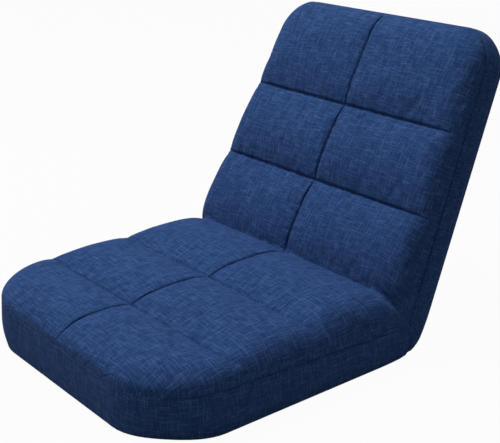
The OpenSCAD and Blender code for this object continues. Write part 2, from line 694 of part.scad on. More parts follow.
// Each end of the soft foam is closed in two arms: upper points a and lower points b,
// which meet at the ring's middle points 6 (above) and 18 (below)
function arm_faces(a, b) = concat(
    [[a[0], b[0], a[1]]],
    [for (i = [0:3]) each [[a[i + 1], b[i], b[i + 1]], [a[i + 1], b[i + 1], a[i + 2]]]],
    [[a[5], b[4], 18], [a[5], 18, 6]]);
function flipped(faces, shift) = [for (f = faces) [f[2] + shift, f[1] + shift, f[0] + shift]];
module crease_wedge() {
    rings = [for (s = cross_shares) soft_ring(s)];
    n = len(rings[0]);
    count = len(rings);
    cap = concat(
        arm_faces([for (k = [0:5]) k], [for (k = [23:-1:19]) k]),
        flipped(arm_faces([for (k = [12:-1:7]) k], [for (k = [13:17]) k]), 0));
    faces = concat(cap, flipped(cap, (count - 1) * n),
        // Each cell is cut along the same diagonal as the cover or foam that it faces
        [for (i = [0:count - 2]) for (k = [0:n - 1]) let(m = (k + 1) % n, a = i * n, b = (i + 1) * n)
            each floor(k / 6) % 2 == 0 ?
                [[a + k, a + m, b + k], [a + m, b + m, b + k]] :
                [[a + k, a + m, b + m], [a + k, b + m, b + k]]]);
    polyhedron([for (r = rings) each r], faces, convexity = 8);
}

// Side view of the cloth that closes the hinge, in (y, z) from the hinge axis
seat_gusset_top = seam_h(SEAT, gusset_l) - skin_drop;
back_gusset_top = seam_h(BACK, gusset_l) - skin_drop;
mitre_top = mitre_h - skin_drop;
gusset_floor = seat_bottom + layer_gap;
// The rear cloth runs down from the back, round the hinge and in under the seat
rear_turn = [[22, -16], [17, -27], [9, -33]];
rear_line = concat(
    [for (y = [gusset_l, gusset_l / 2, gusset_l / 5]) to_back([y, -back_rear_d])],
    rear_turn, [[-2, gusset_floor], [layer_gap - panel_start, gusset_floor]]);
module side_gusset() {
    translate([half_w - cloth_t, hinge_y, hinge_h]) rotate([90, 0, 90]) linear_extrude(cloth_t)
        polygon(concat([seat_side([gusset_l - layer_gap, gusset_floor]),
            seat_side([gusset_l - layer_gap, seat_gusset_top]),
            seat_side([mitre_top / tan(half_angle), mitre_top]),
            to_back([gusset_l - layer_gap, back_gusset_top])], rear_line));
}
// The rear line moved inwards by the thickness of the cloth
function inward(v, i) =
    let(a = v[max(i - 1, 0)], b = v[min(i + 1, len(v) - 1)], d = b - a)
    v[i] + cloth_t * [d[1], -d[0]] / norm(d);
module rear_sheet() {
    inner = [for (i = [len(rear_line) - 1:-1:0]) inward(rear_line, i)];
    inside = half_w - cloth_t - layer_gap;
    translate([-inside, hinge_y, hinge_h]) rotate([90, 0, 90]) linear_extrude(2 * inside)
        polygon(concat(rear_line, inner));
}

// The zip lies over an opening in the underside, above the floor
module zip_strips() {
    for (side = [0, 1]) mirror([0, side, 0])
        translate([-zip_l / 2, zip_gap / 2, 0]) cube([zip_l, zip_tape_w, zip_tape_t]);
    for (x = [-zip_l / 2, zip_l / 2 - zip_stop_l]) translate([x, -zip_gap / 2, 0])
        cube([zip_stop_l, zip_gap, zip_tape_t]);
}
module slider_body() {
    low = zip_tape_h - layer_gap - slider_t;
    high = zip_tape_h + zip_tape_t + layer_gap;
    wide = zip_gap + zip_tape_w;
    for (z = [low, high]) translate([-slider_l / 2, -wide / 2, z]) cube([slider_l, wide, slider_t]);
    translate([-slider_l / 4, layer_gap - zip_gap / 2, low])
        cube([slider_l / 2, zip_gap - 2 * layer_gap, high - low]);
}

module seat_frame_tube() { color(tube_color) in_seat() u_tube(SEAT, seat_bend_r); }
module seat_front_cross_bar() { color(tube_color) in_seat() cross_bar(bar_2); }
module seat_rear_cross_bar() { color(tube_color) in_seat() cross_bar(bar_1); }
module ratchet_plate_right() { color(zinc_color) in_seat() ratchet_plate(); }
module ratchet_plate_left() { color(zinc_color) on_left() in_seat() ratchet_plate(); }
module ratchet_plate_rivets() { color(zinc_color) in_seat() arm_rivets(); }
module seat_base_foam() {
    color(foam_color) difference() {
        in_seat() frame_foam(SEAT, seat_bend_r, seat_bottom + cloth_t + layer_gap);
        // Room for the zip and its slider
        translate([-zip_l / 2 - 1, hinge_y - zip_y - zip_slot_w / 2 - 1, 0])
            cube([zip_l + 2, zip_slot_w + 2, zip_tape_h + zip_tape_t + slider_t + 3 * layer_gap]);
    }
}
module seat_foam() { color(foam_color) in_seat() upper_foam(SEAT); }
module seat_cover_top() { color(cloth_color) in_seat() far_cover(SEAT); }
module seat_rear_cover() { color(cloth_color) in_seat() crease_cover(SEAT); }
module seat_side_band() { color(cloth_color) in_seat() side_band(SEAT, seat_bottom); }
module seat_base_panel() {
    color(underside_color) difference() {
        in_seat() layer(SEAT, edge_r + layer_gap, panel_start, seat_bottom, seat_bottom + cloth_t);
        translate([zip_lap - zip_l / 2, hinge_y - zip_y - zip_slot_w / 2, -1])
            cube([zip_l - 2 * zip_lap, zip_slot_w, cloth_t + 2]);
    }
}
module zip_tape() { color(zip_color) translate([0, hinge_y - zip_y, zip_tape_h]) zip_strips(); }
module zip_slider() { color(zinc_color) translate([-zip_travel / 2, hinge_y - zip_y, 0]) slider_body(); }
module crease_foam() { color(foam_color) crease_wedge(); }
module side_gusset_right() { color(cloth_color) side_gusset(); }
module side_gusset_left() { color(cloth_color) on_left() side_gusset(); }
module rear_gusset() { color(cloth_color) rear_sheet(); }
module back_frame_tube() { color(tube_color) in_back() u_tube(BACK, back_bend_r); }
module back_lower_cross_bar() { color(tube_color) in_back() cross_bar(bar_1); }
module back_upper_cross_bar() { color(tube_color) in_back() cross_bar(bar_2); }
module hinge_cheeks_right() { color(zinc_color) in_back() cheeks(); }
module hinge_cheeks_left() { color(zinc_color) on_left() in_back() cheeks(); }
module hinge_pivot_right() { color(zinc_color) in_back() pivot(); }
module hinge_pivot_left() { color(zinc_color) on_left() in_back() pivot(); }
module cheek_rivets() { color(zinc_color) in_back() arm_rivets(); }
module pawl_right() { color(zinc_color) in_back() pawl(); }
module pawl_left() { color(zinc_color) on_left() in_back() pawl(); }
module pawl_pin_right() { color(zinc_color) in_back() pawl_pin(); }
module pawl_pin_left() { color(zinc_color) on_left() in_back() pawl_pin(); }
module pawl_spring_right() { color(zinc_color) in_back() pawl_spring(); }
module pawl_spring_left() { color(zinc_color) on_left() in_back() pawl_spring(); }
module back_base_foam() {
    color(foam_color) in_back() frame_foam(BACK, back_bend_r, cloth_t + layer_gap - back_rear_d);
}
module back_foam() { color(foam_color) in_back() upper_foam(BACK); }
module back_cover_front() { color(cloth_color) in_back() far_cover(BACK); }
module back_lower_cover() { color(cloth_color) in_back() crease_cover(BACK); }
module back_side_band() { color(cloth_color) in_back() side_band(BACK, -back_rear_d); }
module back_rear_panel() {
    color(cloth_color) in_back()
        layer(BACK, edge_r + layer_gap, gusset_l, -back_rear_d, cloth_t - back_rear_d);
}

seat_frame_tube();
seat_front_cross_bar();
seat_rear_cross_bar();
ratchet_plate_left();
ratchet_plate_right();
ratchet_plate_rivets();
seat_base_foam();
seat_foam();
seat_cover_top();
seat_rear_cover();
seat_side_band();
seat_base_panel();
zip_tape();
zip_slider();
crease_foam();
side_gusset_left();
side_gusset_right();
rear_gusset();
back_frame_tube();
back_lower_cross_bar();
back_upper_cross_bar();
hinge_cheeks_left();
hinge_cheeks_right();
hinge_pivot_left();
hinge_pivot_right();
cheek_rivets();
pawl_left();
pawl_right();
pawl_pin_left();
pawl_pin_right();
pawl_spring_left();
pawl_spring_right();
back_base_foam();
back_foam();
back_cover_front();
back_lower_cover();
back_side_band();
back_rear_panel();
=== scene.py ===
# %% [markdown]
# # A folding floor chair in quilted linen
# The chair is two foam pads on steel tube frames, joined at the sides by a ratchet hinge.
# What shows is cloth: a quilted face that runs over seat and back in one piece, a plain band sewn to it
# all round, and plain cloth behind and below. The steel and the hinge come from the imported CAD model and
# stay as they are. This script makes the cloth, the zip and every finish.

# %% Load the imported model
import math
from types import SimpleNamespace

import bmesh
import bpy
import numpy as np
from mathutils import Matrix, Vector


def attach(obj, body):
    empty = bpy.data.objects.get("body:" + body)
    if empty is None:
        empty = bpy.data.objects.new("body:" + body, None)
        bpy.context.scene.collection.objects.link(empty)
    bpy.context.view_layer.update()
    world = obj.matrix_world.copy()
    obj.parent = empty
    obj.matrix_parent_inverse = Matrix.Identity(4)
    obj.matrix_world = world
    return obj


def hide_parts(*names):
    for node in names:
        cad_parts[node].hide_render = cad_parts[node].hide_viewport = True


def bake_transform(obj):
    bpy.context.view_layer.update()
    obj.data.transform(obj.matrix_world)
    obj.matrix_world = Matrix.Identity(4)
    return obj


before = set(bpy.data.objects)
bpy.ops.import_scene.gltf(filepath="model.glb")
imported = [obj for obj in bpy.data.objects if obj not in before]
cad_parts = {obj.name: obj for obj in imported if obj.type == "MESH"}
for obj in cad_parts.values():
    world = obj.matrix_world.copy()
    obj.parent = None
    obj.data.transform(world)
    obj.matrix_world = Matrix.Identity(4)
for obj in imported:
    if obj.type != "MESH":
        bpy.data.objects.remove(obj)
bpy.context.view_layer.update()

# %% [markdown]
# ## Camera
# The camera comes first. Its place was found by matching the chair's outline, seams and crossings to the
# photograph, so each piece made later is judged from the same side. It is written as a point to look at,
# two angles and a distance, which are easy to correct by hand. The small shift only centres the view.

# %% Camera
IMAGE_WIDTH = 500
FOCAL_PIXELS = 1067.4
SENSOR = 36.0
AZIMUTH, ELEVATION, DISTANCE = math.radians(50.6), math.radians(19.6), 1.5878
TARGET = Vector((0.1600, 0.0058, 0.2724))
SHIFT_PIXELS = (-4.7, -7.8)


def link(name, data):
    """Puts a new object with this data in the scene."""
    made = bpy.data.objects.new(name, data)
    bpy.context.scene.collection.objects.link(made)
    return made


def aim(thing, at, look):
    """Places a camera or lamp and turns it to look at a point."""
    thing.location = at
    thing.rotation_euler = (Vector(look) - Vector(at)).to_track_quat("-Z", "Y").to_euler()


lens = bpy.data.cameras.new("camera")
lens.lens = FOCAL_PIXELS * SENSOR / IMAGE_WIDTH
lens.sensor_width = SENSOR
lens.shift_x, lens.shift_y = (pixels / IMAGE_WIDTH for pixels in SHIFT_PIXELS)
lens.clip_start, lens.clip_end = 0.05, 50
camera = link("camera", lens)
away = Vector((math.sin(AZIMUTH) * math.cos(ELEVATION),
               -math.cos(AZIMUTH) * math.cos(ELEVATION), math.sin(ELEVATION)))
aim(camera, TARGET + away * DISTANCE, TARGET)
bpy.context.scene.camera = camera
print("lens:", round(lens.lens, 2), "mm")

# %% [markdown]
# ## The two pads
# Seat and back are the same kind of pad, so one set of functions shapes both, and only the numbers differ.
# Sizes are in millimetres, as on the pattern cutter's table. Each pad is drawn in its own frame: x runs
# across, y along the pad from the hinge axis, z above that axis. One function puts a pad's points in place.

# %% Pads
MM = 0.001
HINGE_Y, HINGE_Z = 252.5, 35.0
REST = math.radians(115)
HALF = REST / 2
HALF_W = 270.0
MITRE = 21.5

# Except in rows, a pair gives a value at the hinge and at the far edge.
# tip, length, corner: half width at the far edge, reach from the hinge axis, radius of the far corners
# under, seam, crown, sag: heights of the lower face, boxing seam and crown, and the crown's hollow
# fullness, far_shoulder: how square the round shoulder is, and how wide at the far edge
# rows: the two cross seams, from the hinge axis
# puff, centre_share: depth of the dips at the sewn lines, and the middle seam's share of it
# rim_ease: how much the cross seams' dips ease off at the rim
# seam_drop, seam_slack: how far the boxing seam falls and slackens at the far edge
# corner_tuck: how far the band's foot is tucked in at the corners
# row_groove, row_fade: depth of a cross seam's narrow groove, and the width over which it fades at the rim
SEAT = SimpleNamespace(
    tip=270.0, length=505.0, corner=120.0, under=-35.0, seam=(MITRE, 42.0), crown=(97.0, 78.0), sag=0.0,
    fullness=(2.1, 2.6), far_shoulder=95.0, rows=(215.0, 369.0), puff=(20.0, 15.0), centre_share=0.22,
    rim_ease=0.65, seam_drop=4.5, seam_slack=0.85, corner_tuck=9.0, row_groove=2.2, row_fade=110.0,
    turned=False)
BACK = SimpleNamespace(
    tip=240.0, length=507.0, corner=66.0, under=-23.5, seam=(MITRE, 25.0), crown=(98.0, 60.0), sag=4.0,
    fullness=(3.6, 1.8), far_shoulder=52.0, rows=(187.0, 329.0), puff=(22.0, 14.0), centre_share=0.4,
    rim_ease=0.5, seam_drop=0.0, seam_slack=0.0, corner_tuck=2.0, row_groove=3.5, row_fade=55.0,
    turned=True)


def place(pad, x, y, z):
    """Points of a pad's own frame, in metres in the chair's frame."""
    if pad.turned:
        along = -y * math.cos(REST) - z * math.sin(REST)
        up = y * math.sin(REST) - z * math.cos(REST)
    else:
        along, up = -y, z
    return np.stack(np.broadcast_arrays(x, along + HINGE_Y, up + HINGE_Z), -1) * MM


def mix(a, b, t):
    return a + (b - a) * t


def side_at(pad, y):
    """Half width of the pad at y, before its corners."""
    return mix(HALF_W, pad.tip, y / pad.length)


def past_corner(pad, y):
    """0 before the far corners, 1 at the far edge."""
    return np.clip((y - pad.length + pad.corner) / pad.corner, 0, 1)


def seam_height(pad, y):
    return mix(pad.seam[0], pad.seam[1], y / pad.length) - pad.seam_drop * past_corner(pad, y) ** 2


def crown_height(pad, y):
    t = y / pad.length
    return mix(pad.crown[0], pad.crown[1], t) - 4 * pad.sag * t * (1 - t)


def half_at(pad, y):
    """Half width of the pad at y, drawn in by its far corners."""
    past = np.maximum(y - (pad.length - pad.corner), 0)
    cut = pad.corner - np.sqrt(np.maximum(pad.corner ** 2 - past ** 2, 0))
    return (HALF_W - cut) * side_at(pad, y) / HALF_W


def rim_distance(pad, x, y):
    """Distance from a point to the pad's outline."""
    r = pad.corner
    dx = HALF_W - np.abs(x) * HALF_W / side_at(pad, y)
    dy = pad.length - y
    round_corner = np.maximum(0, r - np.hypot(r - dx, r - dy))
    return np.where((dx < r) & (dy < r), round_corner, np.minimum(dx, dy))


def seam_hold(pad, y):
    """How tightly the boxing seam is drawn: slack along the seat's front edge, where it hardly shows."""
    return 1 - pad.seam_slack * past_corner(pad, y) ** 2


def row_distance(pad, y):
    """Distance from a point to the nearer cross seam."""
    return np.minimum(np.abs(y - pad.rows[0]), np.abs(y - pad.rows[1]))


print("pads reach", SEAT.length, "and", BACK.length, "mm from the hinge axis")

# %% [markdown]
# ## The quilted face
# Quilting is cloth over soft foam, held down along sewn lines. It could be sculpted by hand, but a formula
# gives every panel the same character and is easy to correct. The face is a height over the pad: a round
# shoulder inside the boxing seam, a crown, and a dip along each sewn line that is deepest where two lines
# cross, because the thread pulls from both sides there. Most numbers are those of the CAD solids, so the
# cloth lies where the foam is. The crease, the front shoulder and the seat's middle seam follow the
# photograph more closely.

# %% Height of the face
# A name ends in _H for a height, _W for a width and _SHARE for a share of 1
SHOULDER_W, SHOULDER_SHARE = 52.0, 0.88
CREASE_H, CREASE_W, CREASE_TUFT = 82.5, 22.0, 4.0
FILLET, FILLET_W = 6.0, 5.0
PUFF_W, ROW_SHARE = 24.0, 0.8
RIM_EASE_W = 90.0


def dome(distance, fullness=2.0, width=SHOULDER_W):
    """Share of the crown's height at a distance from the rim; a fuller shoulder has a squarer curve."""
    a = 1 - np.clip(distance / width, 0, 1)
    b = 1 - np.clip(distance / HALF_W, 0, 1)
    return SHOULDER_SHARE * (1 - a ** fullness) ** (1 / fullness) + (1 - SHOULDER_SHARE) * (1 - b * b)


def tuft(pad, x, y):
    """Depth to which the sewn lines draw the cloth in."""
    centre = pad.centre_share * np.exp(-np.abs(x) / PUFF_W)
    hold = 1 - pad.rim_ease * (1 - np.clip(rim_distance(pad, x, y) / RIM_EASE_W, 0, 1))
    row = ROW_SHARE * hold * np.exp(-row_distance(pad, y) / PUFF_W)
    return mix(pad.puff[0], pad.puff[1], y / pad.length) * (1 - (1 - centre) * (1 - row))


def plain_face(pad, x, y):
    """The face of one pad by itself, without the crease."""
    base = seam_height(pad, y)
    share = dome(rim_distance(pad, x, y), mix(pad.fullness[0], pad.fullness[1], y / pad.length),
                 mix(SHOULDER_W, pad.far_shoulder, past_corner(pad, y)))
    return base + (crown_height(pad, y) - base - tuft(pad, x, y)) * share


def crease_z(x):
    """Height of the crease, the same in both pads' frames."""
    return MITRE + (CREASE_H - MITRE - CREASE_TUFT * np.exp(-np.abs(x) / PUFF_W)) * dome(HALF_W - np.abs(x))


def face_z(pad, x, y):
    """The face, drawn in beside the crease, where a small fillet joins seat and back."""
    foot = x * HALF_W / side_at(pad, y)
    zc = crease_z(foot)
    yc = zc / math.tan(HALF)
    fillet = FILLET * dome(HALF_W - np.abs(foot))
    drop = plain_face(pad, foot * side_at(pad, yc) / HALF_W, yc) - zc + fillet
    return plain_face(pad, x, y) - drop * np.exp(-(y - yc) / CREASE_W) + fillet * np.exp(-(y - yc) / FILLET_W)


print("crease:", round(float(crease_z(0.0)), 1), "mm above the hinge axis in the middle")

# %% [markdown]
# The face is one grid of points, from the seat's front edge over the crease to the back's top edge. Its rows
# and columns stand closer at the sewn lines and at the rim, where the cloth turns fastest. A grid keeps
# each sewn line on one row or column, which a remeshed blob would lose.

# %% Grid of the face
FINE, CREASE_FINE, COARSE, GROWTH = 1.8, 2.5, 6.5, 1.35


def both_ends(start, end, fine=FINE, coarse=COARSE):
    """Stations from start to end that stand close at both ends and wider between."""
    half, step, at = [0.0], fine, 0.0
    while at < (end - start) / 2:
        at += step
        half.append(at)
        step = min(step * GROWTH, coarse)
    half = np.array(half) * (end - start) / 2 / half[-1]
    return np.concatenate([start + half, end - half[-2::-1]])


side_shares = both_ends(0, HALF_W) / HALF_W
columns = np.concatenate([-side_shares[:0:-1], side_shares])


def face_rows(pad):
    """Rows of a pad's face from the crease to its far edge, and their (x, y) in the pad's frame."""
    reach = pad.rows[0] - CREASE_H / math.tan(HALF)
    yc = crease_z(columns * HALF_W) / math.tan(HALF)
    layout = []
    for share in both_ends(0, reach, CREASE_FINE)[:-1] / reach:
        y = mix(yc, pad.rows[0], share)
        layout.append(np.stack([columns * side_at(pad, y), y], -1))
    far = np.concatenate([both_ends(pad.rows[0], pad.rows[1])[:-1], both_ends(pad.rows[1], pad.length)])
    for y in far:
        layout.append(np.stack([columns * half_at(pad, y), np.full_like(columns, y)], -1))
    layout = np.array(layout)
    x, y = layout[..., 0], layout[..., 1]
    return place(pad, x, y, face_z(pad, x, y)), layout


seat_points, seat_flat = face_rows(SEAT)
back_points, back_flat = face_rows(BACK)
face = np.concatenate([seat_points[::-1], back_points[1:]])
flat = np.concatenate([seat_flat[::-1], back_flat[1:]])
crease_row = len(seat_points) - 1
print("face grid:", face.shape[:2], "crease at row", crease_row)

# %% [markdown]
# Every cloth of this chair starts as such a grid. These helpers turn a grid into faces, refine it along
# smooth curves and measure along it. A subdivision modifier would refine it too, but it pulls the points
# away from the sewn lines.

# %% Grid helpers
def grid_faces(rows, cols):
    """Quads of a grid that faces up when its columns run along x and its rows along y."""
    i, j = np.meshgrid(np.arange(rows - 1), np.arange(cols - 1), indexing="ij")
    k = (i * cols + j).ravel()
    return np.stack([k, k + 1, k + cols + 1, k + cols], -1).tolist()


def refine(grid):
    """Doubles a grid both ways; each new point lies on a smooth curve through its four neighbours."""
    for axis in (0, 1):
        line = np.moveaxis(grid, axis, 0)
        before = np.concatenate([2 * line[:1] - line[1:2], line[:-2]])
        after = np.concatenate([line[2:], 2 * line[-1:] - line[-2:-1]])
        doubled = np.empty((len(line) * 2 - 1,) + line.shape[1:])
        doubled[0::2] = line
        doubled[1::2] = (9 * (line[:-1] + line[1:]) - before - after) / 16
        grid = np.moveaxis(doubled, 0, axis)
    return grid


def grid_normals(grid):
    across = np.cross(np.gradient(grid, axis=1), np.gradient(grid, axis=0))
    return across / np.maximum(np.linalg.norm(across, axis=-1, keepdims=True), 1e-12)


def run_length(grid, axis):
    """Distance along each row or column of a grid, from its first point."""
    steps = np.linalg.norm(np.diff(grid, axis=axis), axis=-1)
    first = np.zeros_like(np.take(steps, [0], axis=axis))
    return np.concatenate([first, np.cumsum(steps, axis=axis)], axis=axis)


# %% Mesh helpers
def make_mesh(name, points, faces, uv=None):
    """A smooth mesh; uv holds one pair for each point."""
    mesh = bpy.data.meshes.new(name)
    mesh.from_pydata(np.asarray(points).tolist(), [], faces)
    if uv is not None:
        corners = np.zeros(len(mesh.loops), np.int32)
        mesh.loops.foreach_get("vertex_index", corners)
        layer = mesh.uv_layers.new(name="weave")
        layer.data.foreach_set("uv", np.asarray(uv, np.float32)[corners].ravel())
    mesh.polygons.foreach_set("use_smooth", [True] * len(mesh.polygons))
    mesh.update()
    return link(name, mesh)


def turn_outward(piece):
    """Turns every face of a closed mesh outwards."""
    bm = bmesh.new()
    bm.from_mesh(piece.data)
    bmesh.ops.recalc_face_normals(bm, faces=bm.faces)
    bm.to_mesh(piece.data)
    bm.free()


# %% [markdown]
# ## Filling the panels
# Foam pushes the cloth out between its seams, further at the sides where nothing else holds it. Blender's
# Cloth does the same: the sewn lines, the crease and the rim are pinned, a pressure pushes from inside, and
# a little spare cloth lets small folds form beside the seams. A formula could swell the panels too, but not
# as unevenly as cloth does. How far a point may move is capped, so that the cushion stays the size of its
# foam.

# %% Cloth simulation
SWELL_CAP = 8.0 * MM
SPARE_CLOTH = 0.006
FRAMES = 20
ON_SEAM = 0.01


def sewn_points(flat_xy, crease):
    """Marks the points that thread or the crease holds in place."""
    rows, cols = flat_xy.shape[:2]
    held = np.zeros((rows, cols), bool)
    held[[0, -1, crease]] = True
    held[:, [0, -1, cols // 2]] = True
    for i in range(rows):
        pad = BACK if i > crease else SEAT
        if row_distance(pad, flat_xy[i, cols // 2, 1]) < ON_SEAM:
            held[i] = True
    return held


def swell(grid, held):
    """Lets pressure fill the panels and returns the moved grid."""
    rows, cols = grid.shape[:2]
    piece = make_mesh("swelling", grid.reshape(-1, 3), grid_faces(rows, cols))
    group = piece.vertex_groups.new(name="sewn")
    group.add(np.flatnonzero(held).tolist(), 1.0, "REPLACE")
    cloth = piece.modifiers.new("cloth", "CLOTH")
    rules = cloth.settings
    rules.quality = 6
    rules.mass = 0.25
    rules.tension_stiffness = rules.compression_stiffness = 25
    rules.shear_stiffness = 12
    rules.bending_stiffness = 0.6
    rules.shrink_min = -SPARE_CLOTH
    rules.use_pressure = True
    rules.uniform_pressure_force = 4
    rules.effector_weights.gravity = 0
    rules.vertex_group_mass = "sewn"
    cloth.collision_settings.use_collision = False
    scene = bpy.context.scene
    cloth.point_cache.frame_start, cloth.point_cache.frame_end = 1, FRAMES
    for number in range(1, FRAMES + 1):
        scene.frame_set(number)
    settled = piece.evaluated_get(bpy.context.evaluated_depsgraph_get()).data
    moved = np.zeros(len(settled.vertices) * 3)
    settled.vertices.foreach_get("co", moved)
    moved = moved.reshape(rows, cols, 3)
    bpy.data.objects.remove(piece)
    scene.frame_set(1)
    shift = moved - grid
    far = np.linalg.norm(shift, axis=-1, keepdims=True)
    print("swelled by up to", round(float(far.max()) / MM, 1), "mm")
    return grid + shift * SWELL_CAP * np.tanh(far / SWELL_CAP) / np.maximum(far, 1e-9)


face = swell(face, sewn_points(flat, crease_row))

# %% [markdown]
# ## The weave's layout
# A woven pattern needs a flat layout, as if the cloth were still on the cutting table. It is measured along
# the cloth: across from the middle column, and along from the crease. The distance along is averaged over
# the middle half of each row, so that the threads that run across stay straight. An automatic unwrap would
# cut the cloth where no tailor does.

# %% Finer grid and its layout
fine = refine(face)
fine_flat = refine(flat)
fine_crease = 2 * crease_row
rows, cols = fine.shape[:2]
across_run, along_run = run_length(fine, 1), run_length(fine, 0)
u = across_run - across_run[:, cols // 2:cols // 2 + 1]
from_crease = along_run - along_run[fine_crease]
v = from_crease[:, cols // 4:-cols // 4].mean(axis=1, keepdims=True) + 0 * u
weave = np.stack([u, v], -1).reshape(-1, 2)
print("cloth of the face:", round(float(np.ptp(v)), 3), "m long")

# %% [markdown]
# ## Sewn lines
# The narrow lines are pressed into the finer grid: thread cuts a groove about four millimetres wide, far
# narrower than the soft dip round it. On the back the cross seams are tight. On the seat they are slacker
# and fade out towards the sides. Small puckers stand across each seam, where the thread gathers the cloth.
# They are moved points, because a simulation fine enough to hold them would take many minutes.

# %% Grooves
GROOVE_W, RIM_GROOVE_W = 2.3, 1.6
CENTRE_GROOVE, RIM_GROOVE = 2.9, 2.2
LEAST_ROW, CENTRE_FADE = 0.12, 12.0
x, y = fine_flat[..., 0], fine_flat[..., 1]


def pressed(pad, part):
    """Depth of the sewn lines on one pad."""
    px, py = x[part], y[part]
    rim = rim_distance(pad, px, py)
    across = row_distance(pad, py)
    fade = np.clip(rim / pad.row_fade, LEAST_ROW, 1)
    row = pad.row_groove * fade * np.exp(-(across / GROOVE_W) ** 2)
    centre = CENTRE_GROOVE * np.clip(rim / CENTRE_FADE, 0, 1) * np.exp(-(px / GROOVE_W) ** 2)
    return np.maximum(row, centre) + RIM_GROOVE * seam_hold(pad, py) * np.exp(-(rim / RIM_GROOVE_W) ** 2)


# %% Puckers
PUCKER_AT, PUCKER_FADE = 6.0, 30.0
CENTRE_PUCKER, CENTRE_WAVES, CENTRE_SHIFT = 0.55, (17, 23, 31), 12
ROW_PUCKER, ROW_WAVES, ROW_SHIFT = 0.5, (19, 27, 41), 40
WANDER, WANDER_LENGTH, FULL_TURN = 1.5, 3.7, 6.28
SEAT_SEED, BACK_SEED = 11, 23


def waves(position, seed, lengths):
    """An uneven ripple along a seam, between -1 and 1."""
    random = np.random.default_rng(seed)
    total = np.zeros_like(position)
    for length in lengths:
        bend = WANDER * np.sin(position / (length * WANDER_LENGTH) + random.uniform(0, FULL_TURN))
        total += np.sin(position * 2 * math.pi / length + bend + random.uniform(0, FULL_TURN))
    return total / len(lengths)


def beside(distance):
    """0 on a seam, 1 where the gathers are highest, and falling off beyond."""
    return (distance / PUCKER_AT) * np.exp(1 - distance / PUCKER_AT)


def pucker(pad, part, seed):
    """Height of the small gathers beside the seams of one pad; the two sides of a seam differ."""
    px, py = x[part], y[part]
    rim = np.clip(rim_distance(pad, px, py) / PUCKER_FADE, 0, 1)
    gathers = CENTRE_PUCKER * waves(py + CENTRE_SHIFT * np.sign(px), seed, CENTRE_WAVES) * beside(np.abs(px))
    other_side = ROW_SHIFT * np.sign(py - pad.rows[0])
    gathers += ROW_PUCKER * waves(px + other_side, seed + 1, ROW_WAVES) * beside(row_distance(pad, py))
    return gathers * rim


change = np.zeros_like(x)
for pad, part, seed in ((SEAT, np.s_[:fine_crease + 1], SEAT_SEED),
                        (BACK, np.s_[fine_crease + 1:], BACK_SEED)):
    change[part] = pucker(pad, part, seed) - pressed(pad, part)
fine = fine + grid_normals(fine) * (change * MM)[..., None]
print("fine grid:", rows, "x", cols, "lowest change", round(float(change.min()), 2), "mm")

# %% [markdown]
# ## Closing the cushion
# The cushion is closed below the boxing seam by a short skirt inside the side band, and by long strips
# that lie inside the pads, so it is a solid body and not a loose skin. Solidify would only thicken the
# skin. The strips rise beside the crease, which leaves the hinge its room when the chair is folded.

# %% Skirt
SKIRT, SKIRT_IN, SIDE_FROM = 10.0, 4.0, 0.05
SEAT_DOWN = np.array([0, 0, -1.0])
BACK_DOWN = np.array([0, math.sin(REST), math.cos(REST)])
index = np.arange(rows * cols).reshape(rows, cols)
ring = np.concatenate([index[0], index[1:, -1], index[-1, -2::-1], index[-2:0:-1, 0]])
surface = fine.reshape(-1, 3)
down = np.where((ring // cols > fine_crease)[:, None], BACK_DOWN, SEAT_DOWN)
off_middle = np.abs(surface[ring, :1]) > SIDE_FROM
inwards = np.stack([-np.sign(surface[ring, 0]), 0 * ring, 0 * ring], -1) * off_middle
skirt = surface[ring] + (down * SKIRT + inwards * SKIRT_IN) * MM
below = {int(k): len(surface) + n for n, k in enumerate(ring)}
faces = grid_faces(rows, cols)
for a, b in zip(ring, np.roll(ring, -1)):
    faces.append([int(a), below[int(a)], below[int(b)], int(b)])
print("skirt:", len(skirt), "points")

# %% Inner strips and the closed cushion
INNER_RISE, INNER_REACH, INNER_SHARES = 34.0, 48.0, (0.06, 0.12, 0.5, 0.88, 0.94)
inner, extra = [[below[int(k)] for k in index[0]]], []
for i in range(1, rows - 1):
    ends = [below[int(index[i, k])] for k in (0, -1)]
    left_end, right_end = (skirt[k - len(surface)] for k in ends)
    rise = INNER_RISE * math.exp(-((fine_flat[i, 0, 1] - MITRE / math.tan(HALF)) / INNER_REACH) ** 2)
    lift = (BACK_DOWN if i > fine_crease else SEAT_DOWN) * rise * MM
    first = len(surface) + len(skirt) + len(extra)
    extra += [mix(left_end, right_end, share) - lift for share in INNER_SHARES]
    inner.append([ends[0], *range(first, first + len(INNER_SHARES)), ends[1]])
inner.append([below[int(k)] for k in index[-1]])
for near, far in zip(inner[:-1], inner[1:]):
    if len(near) == len(far):
        faces += [[near[k], far[k], far[k + 1], near[k + 1]] for k in range(len(near) - 1)]
    else:
        faces.append(near[:1] + far + near[:0:-1])
cushion = make_mesh("quilted_cushion", np.concatenate([surface, skirt, extra]), faces,
                    np.concatenate([weave, weave[ring], np.zeros((len(extra), 2))]))
turn_outward(cushion)
print("cushion:", len(cushion.data.polygons), "faces")

# %% [markdown]
# ## Side band
# One strip of plain cloth runs all round the chair, from the boxing seam down to the lower edge, where it
# turns in. Its top is drawn in at the seam, and it swells a little over the foam. It could be a curve with a
# profile, but the strip's height and swell change on the way round. So it is built as stations round the
# outline, each with the same number of points down the strip.

# %% Stations of the band
EDGE_R, TURN_IN, TURN_IN_Z = 8.0, 12.0, 0.8
GUSSET = 72.0
STATION, CORNER_STATIONS, END_STATIONS = 8.0, 17, 18
BAND_BULGE, BULGE_LOW, SEAM_DIP, SEAM_DIP_W = 3.0, 1.4, 2.2, 0.018
BAND_SHARES = np.array([0, 0.012, 0.03, 0.06, 0.12, 0.2, 0.3, 0.42, 0.54, 0.66, 0.78, 0.9, 1.0])
EDGE_ANGLES = np.radians([15, 30, 45, 60, 75, 90])


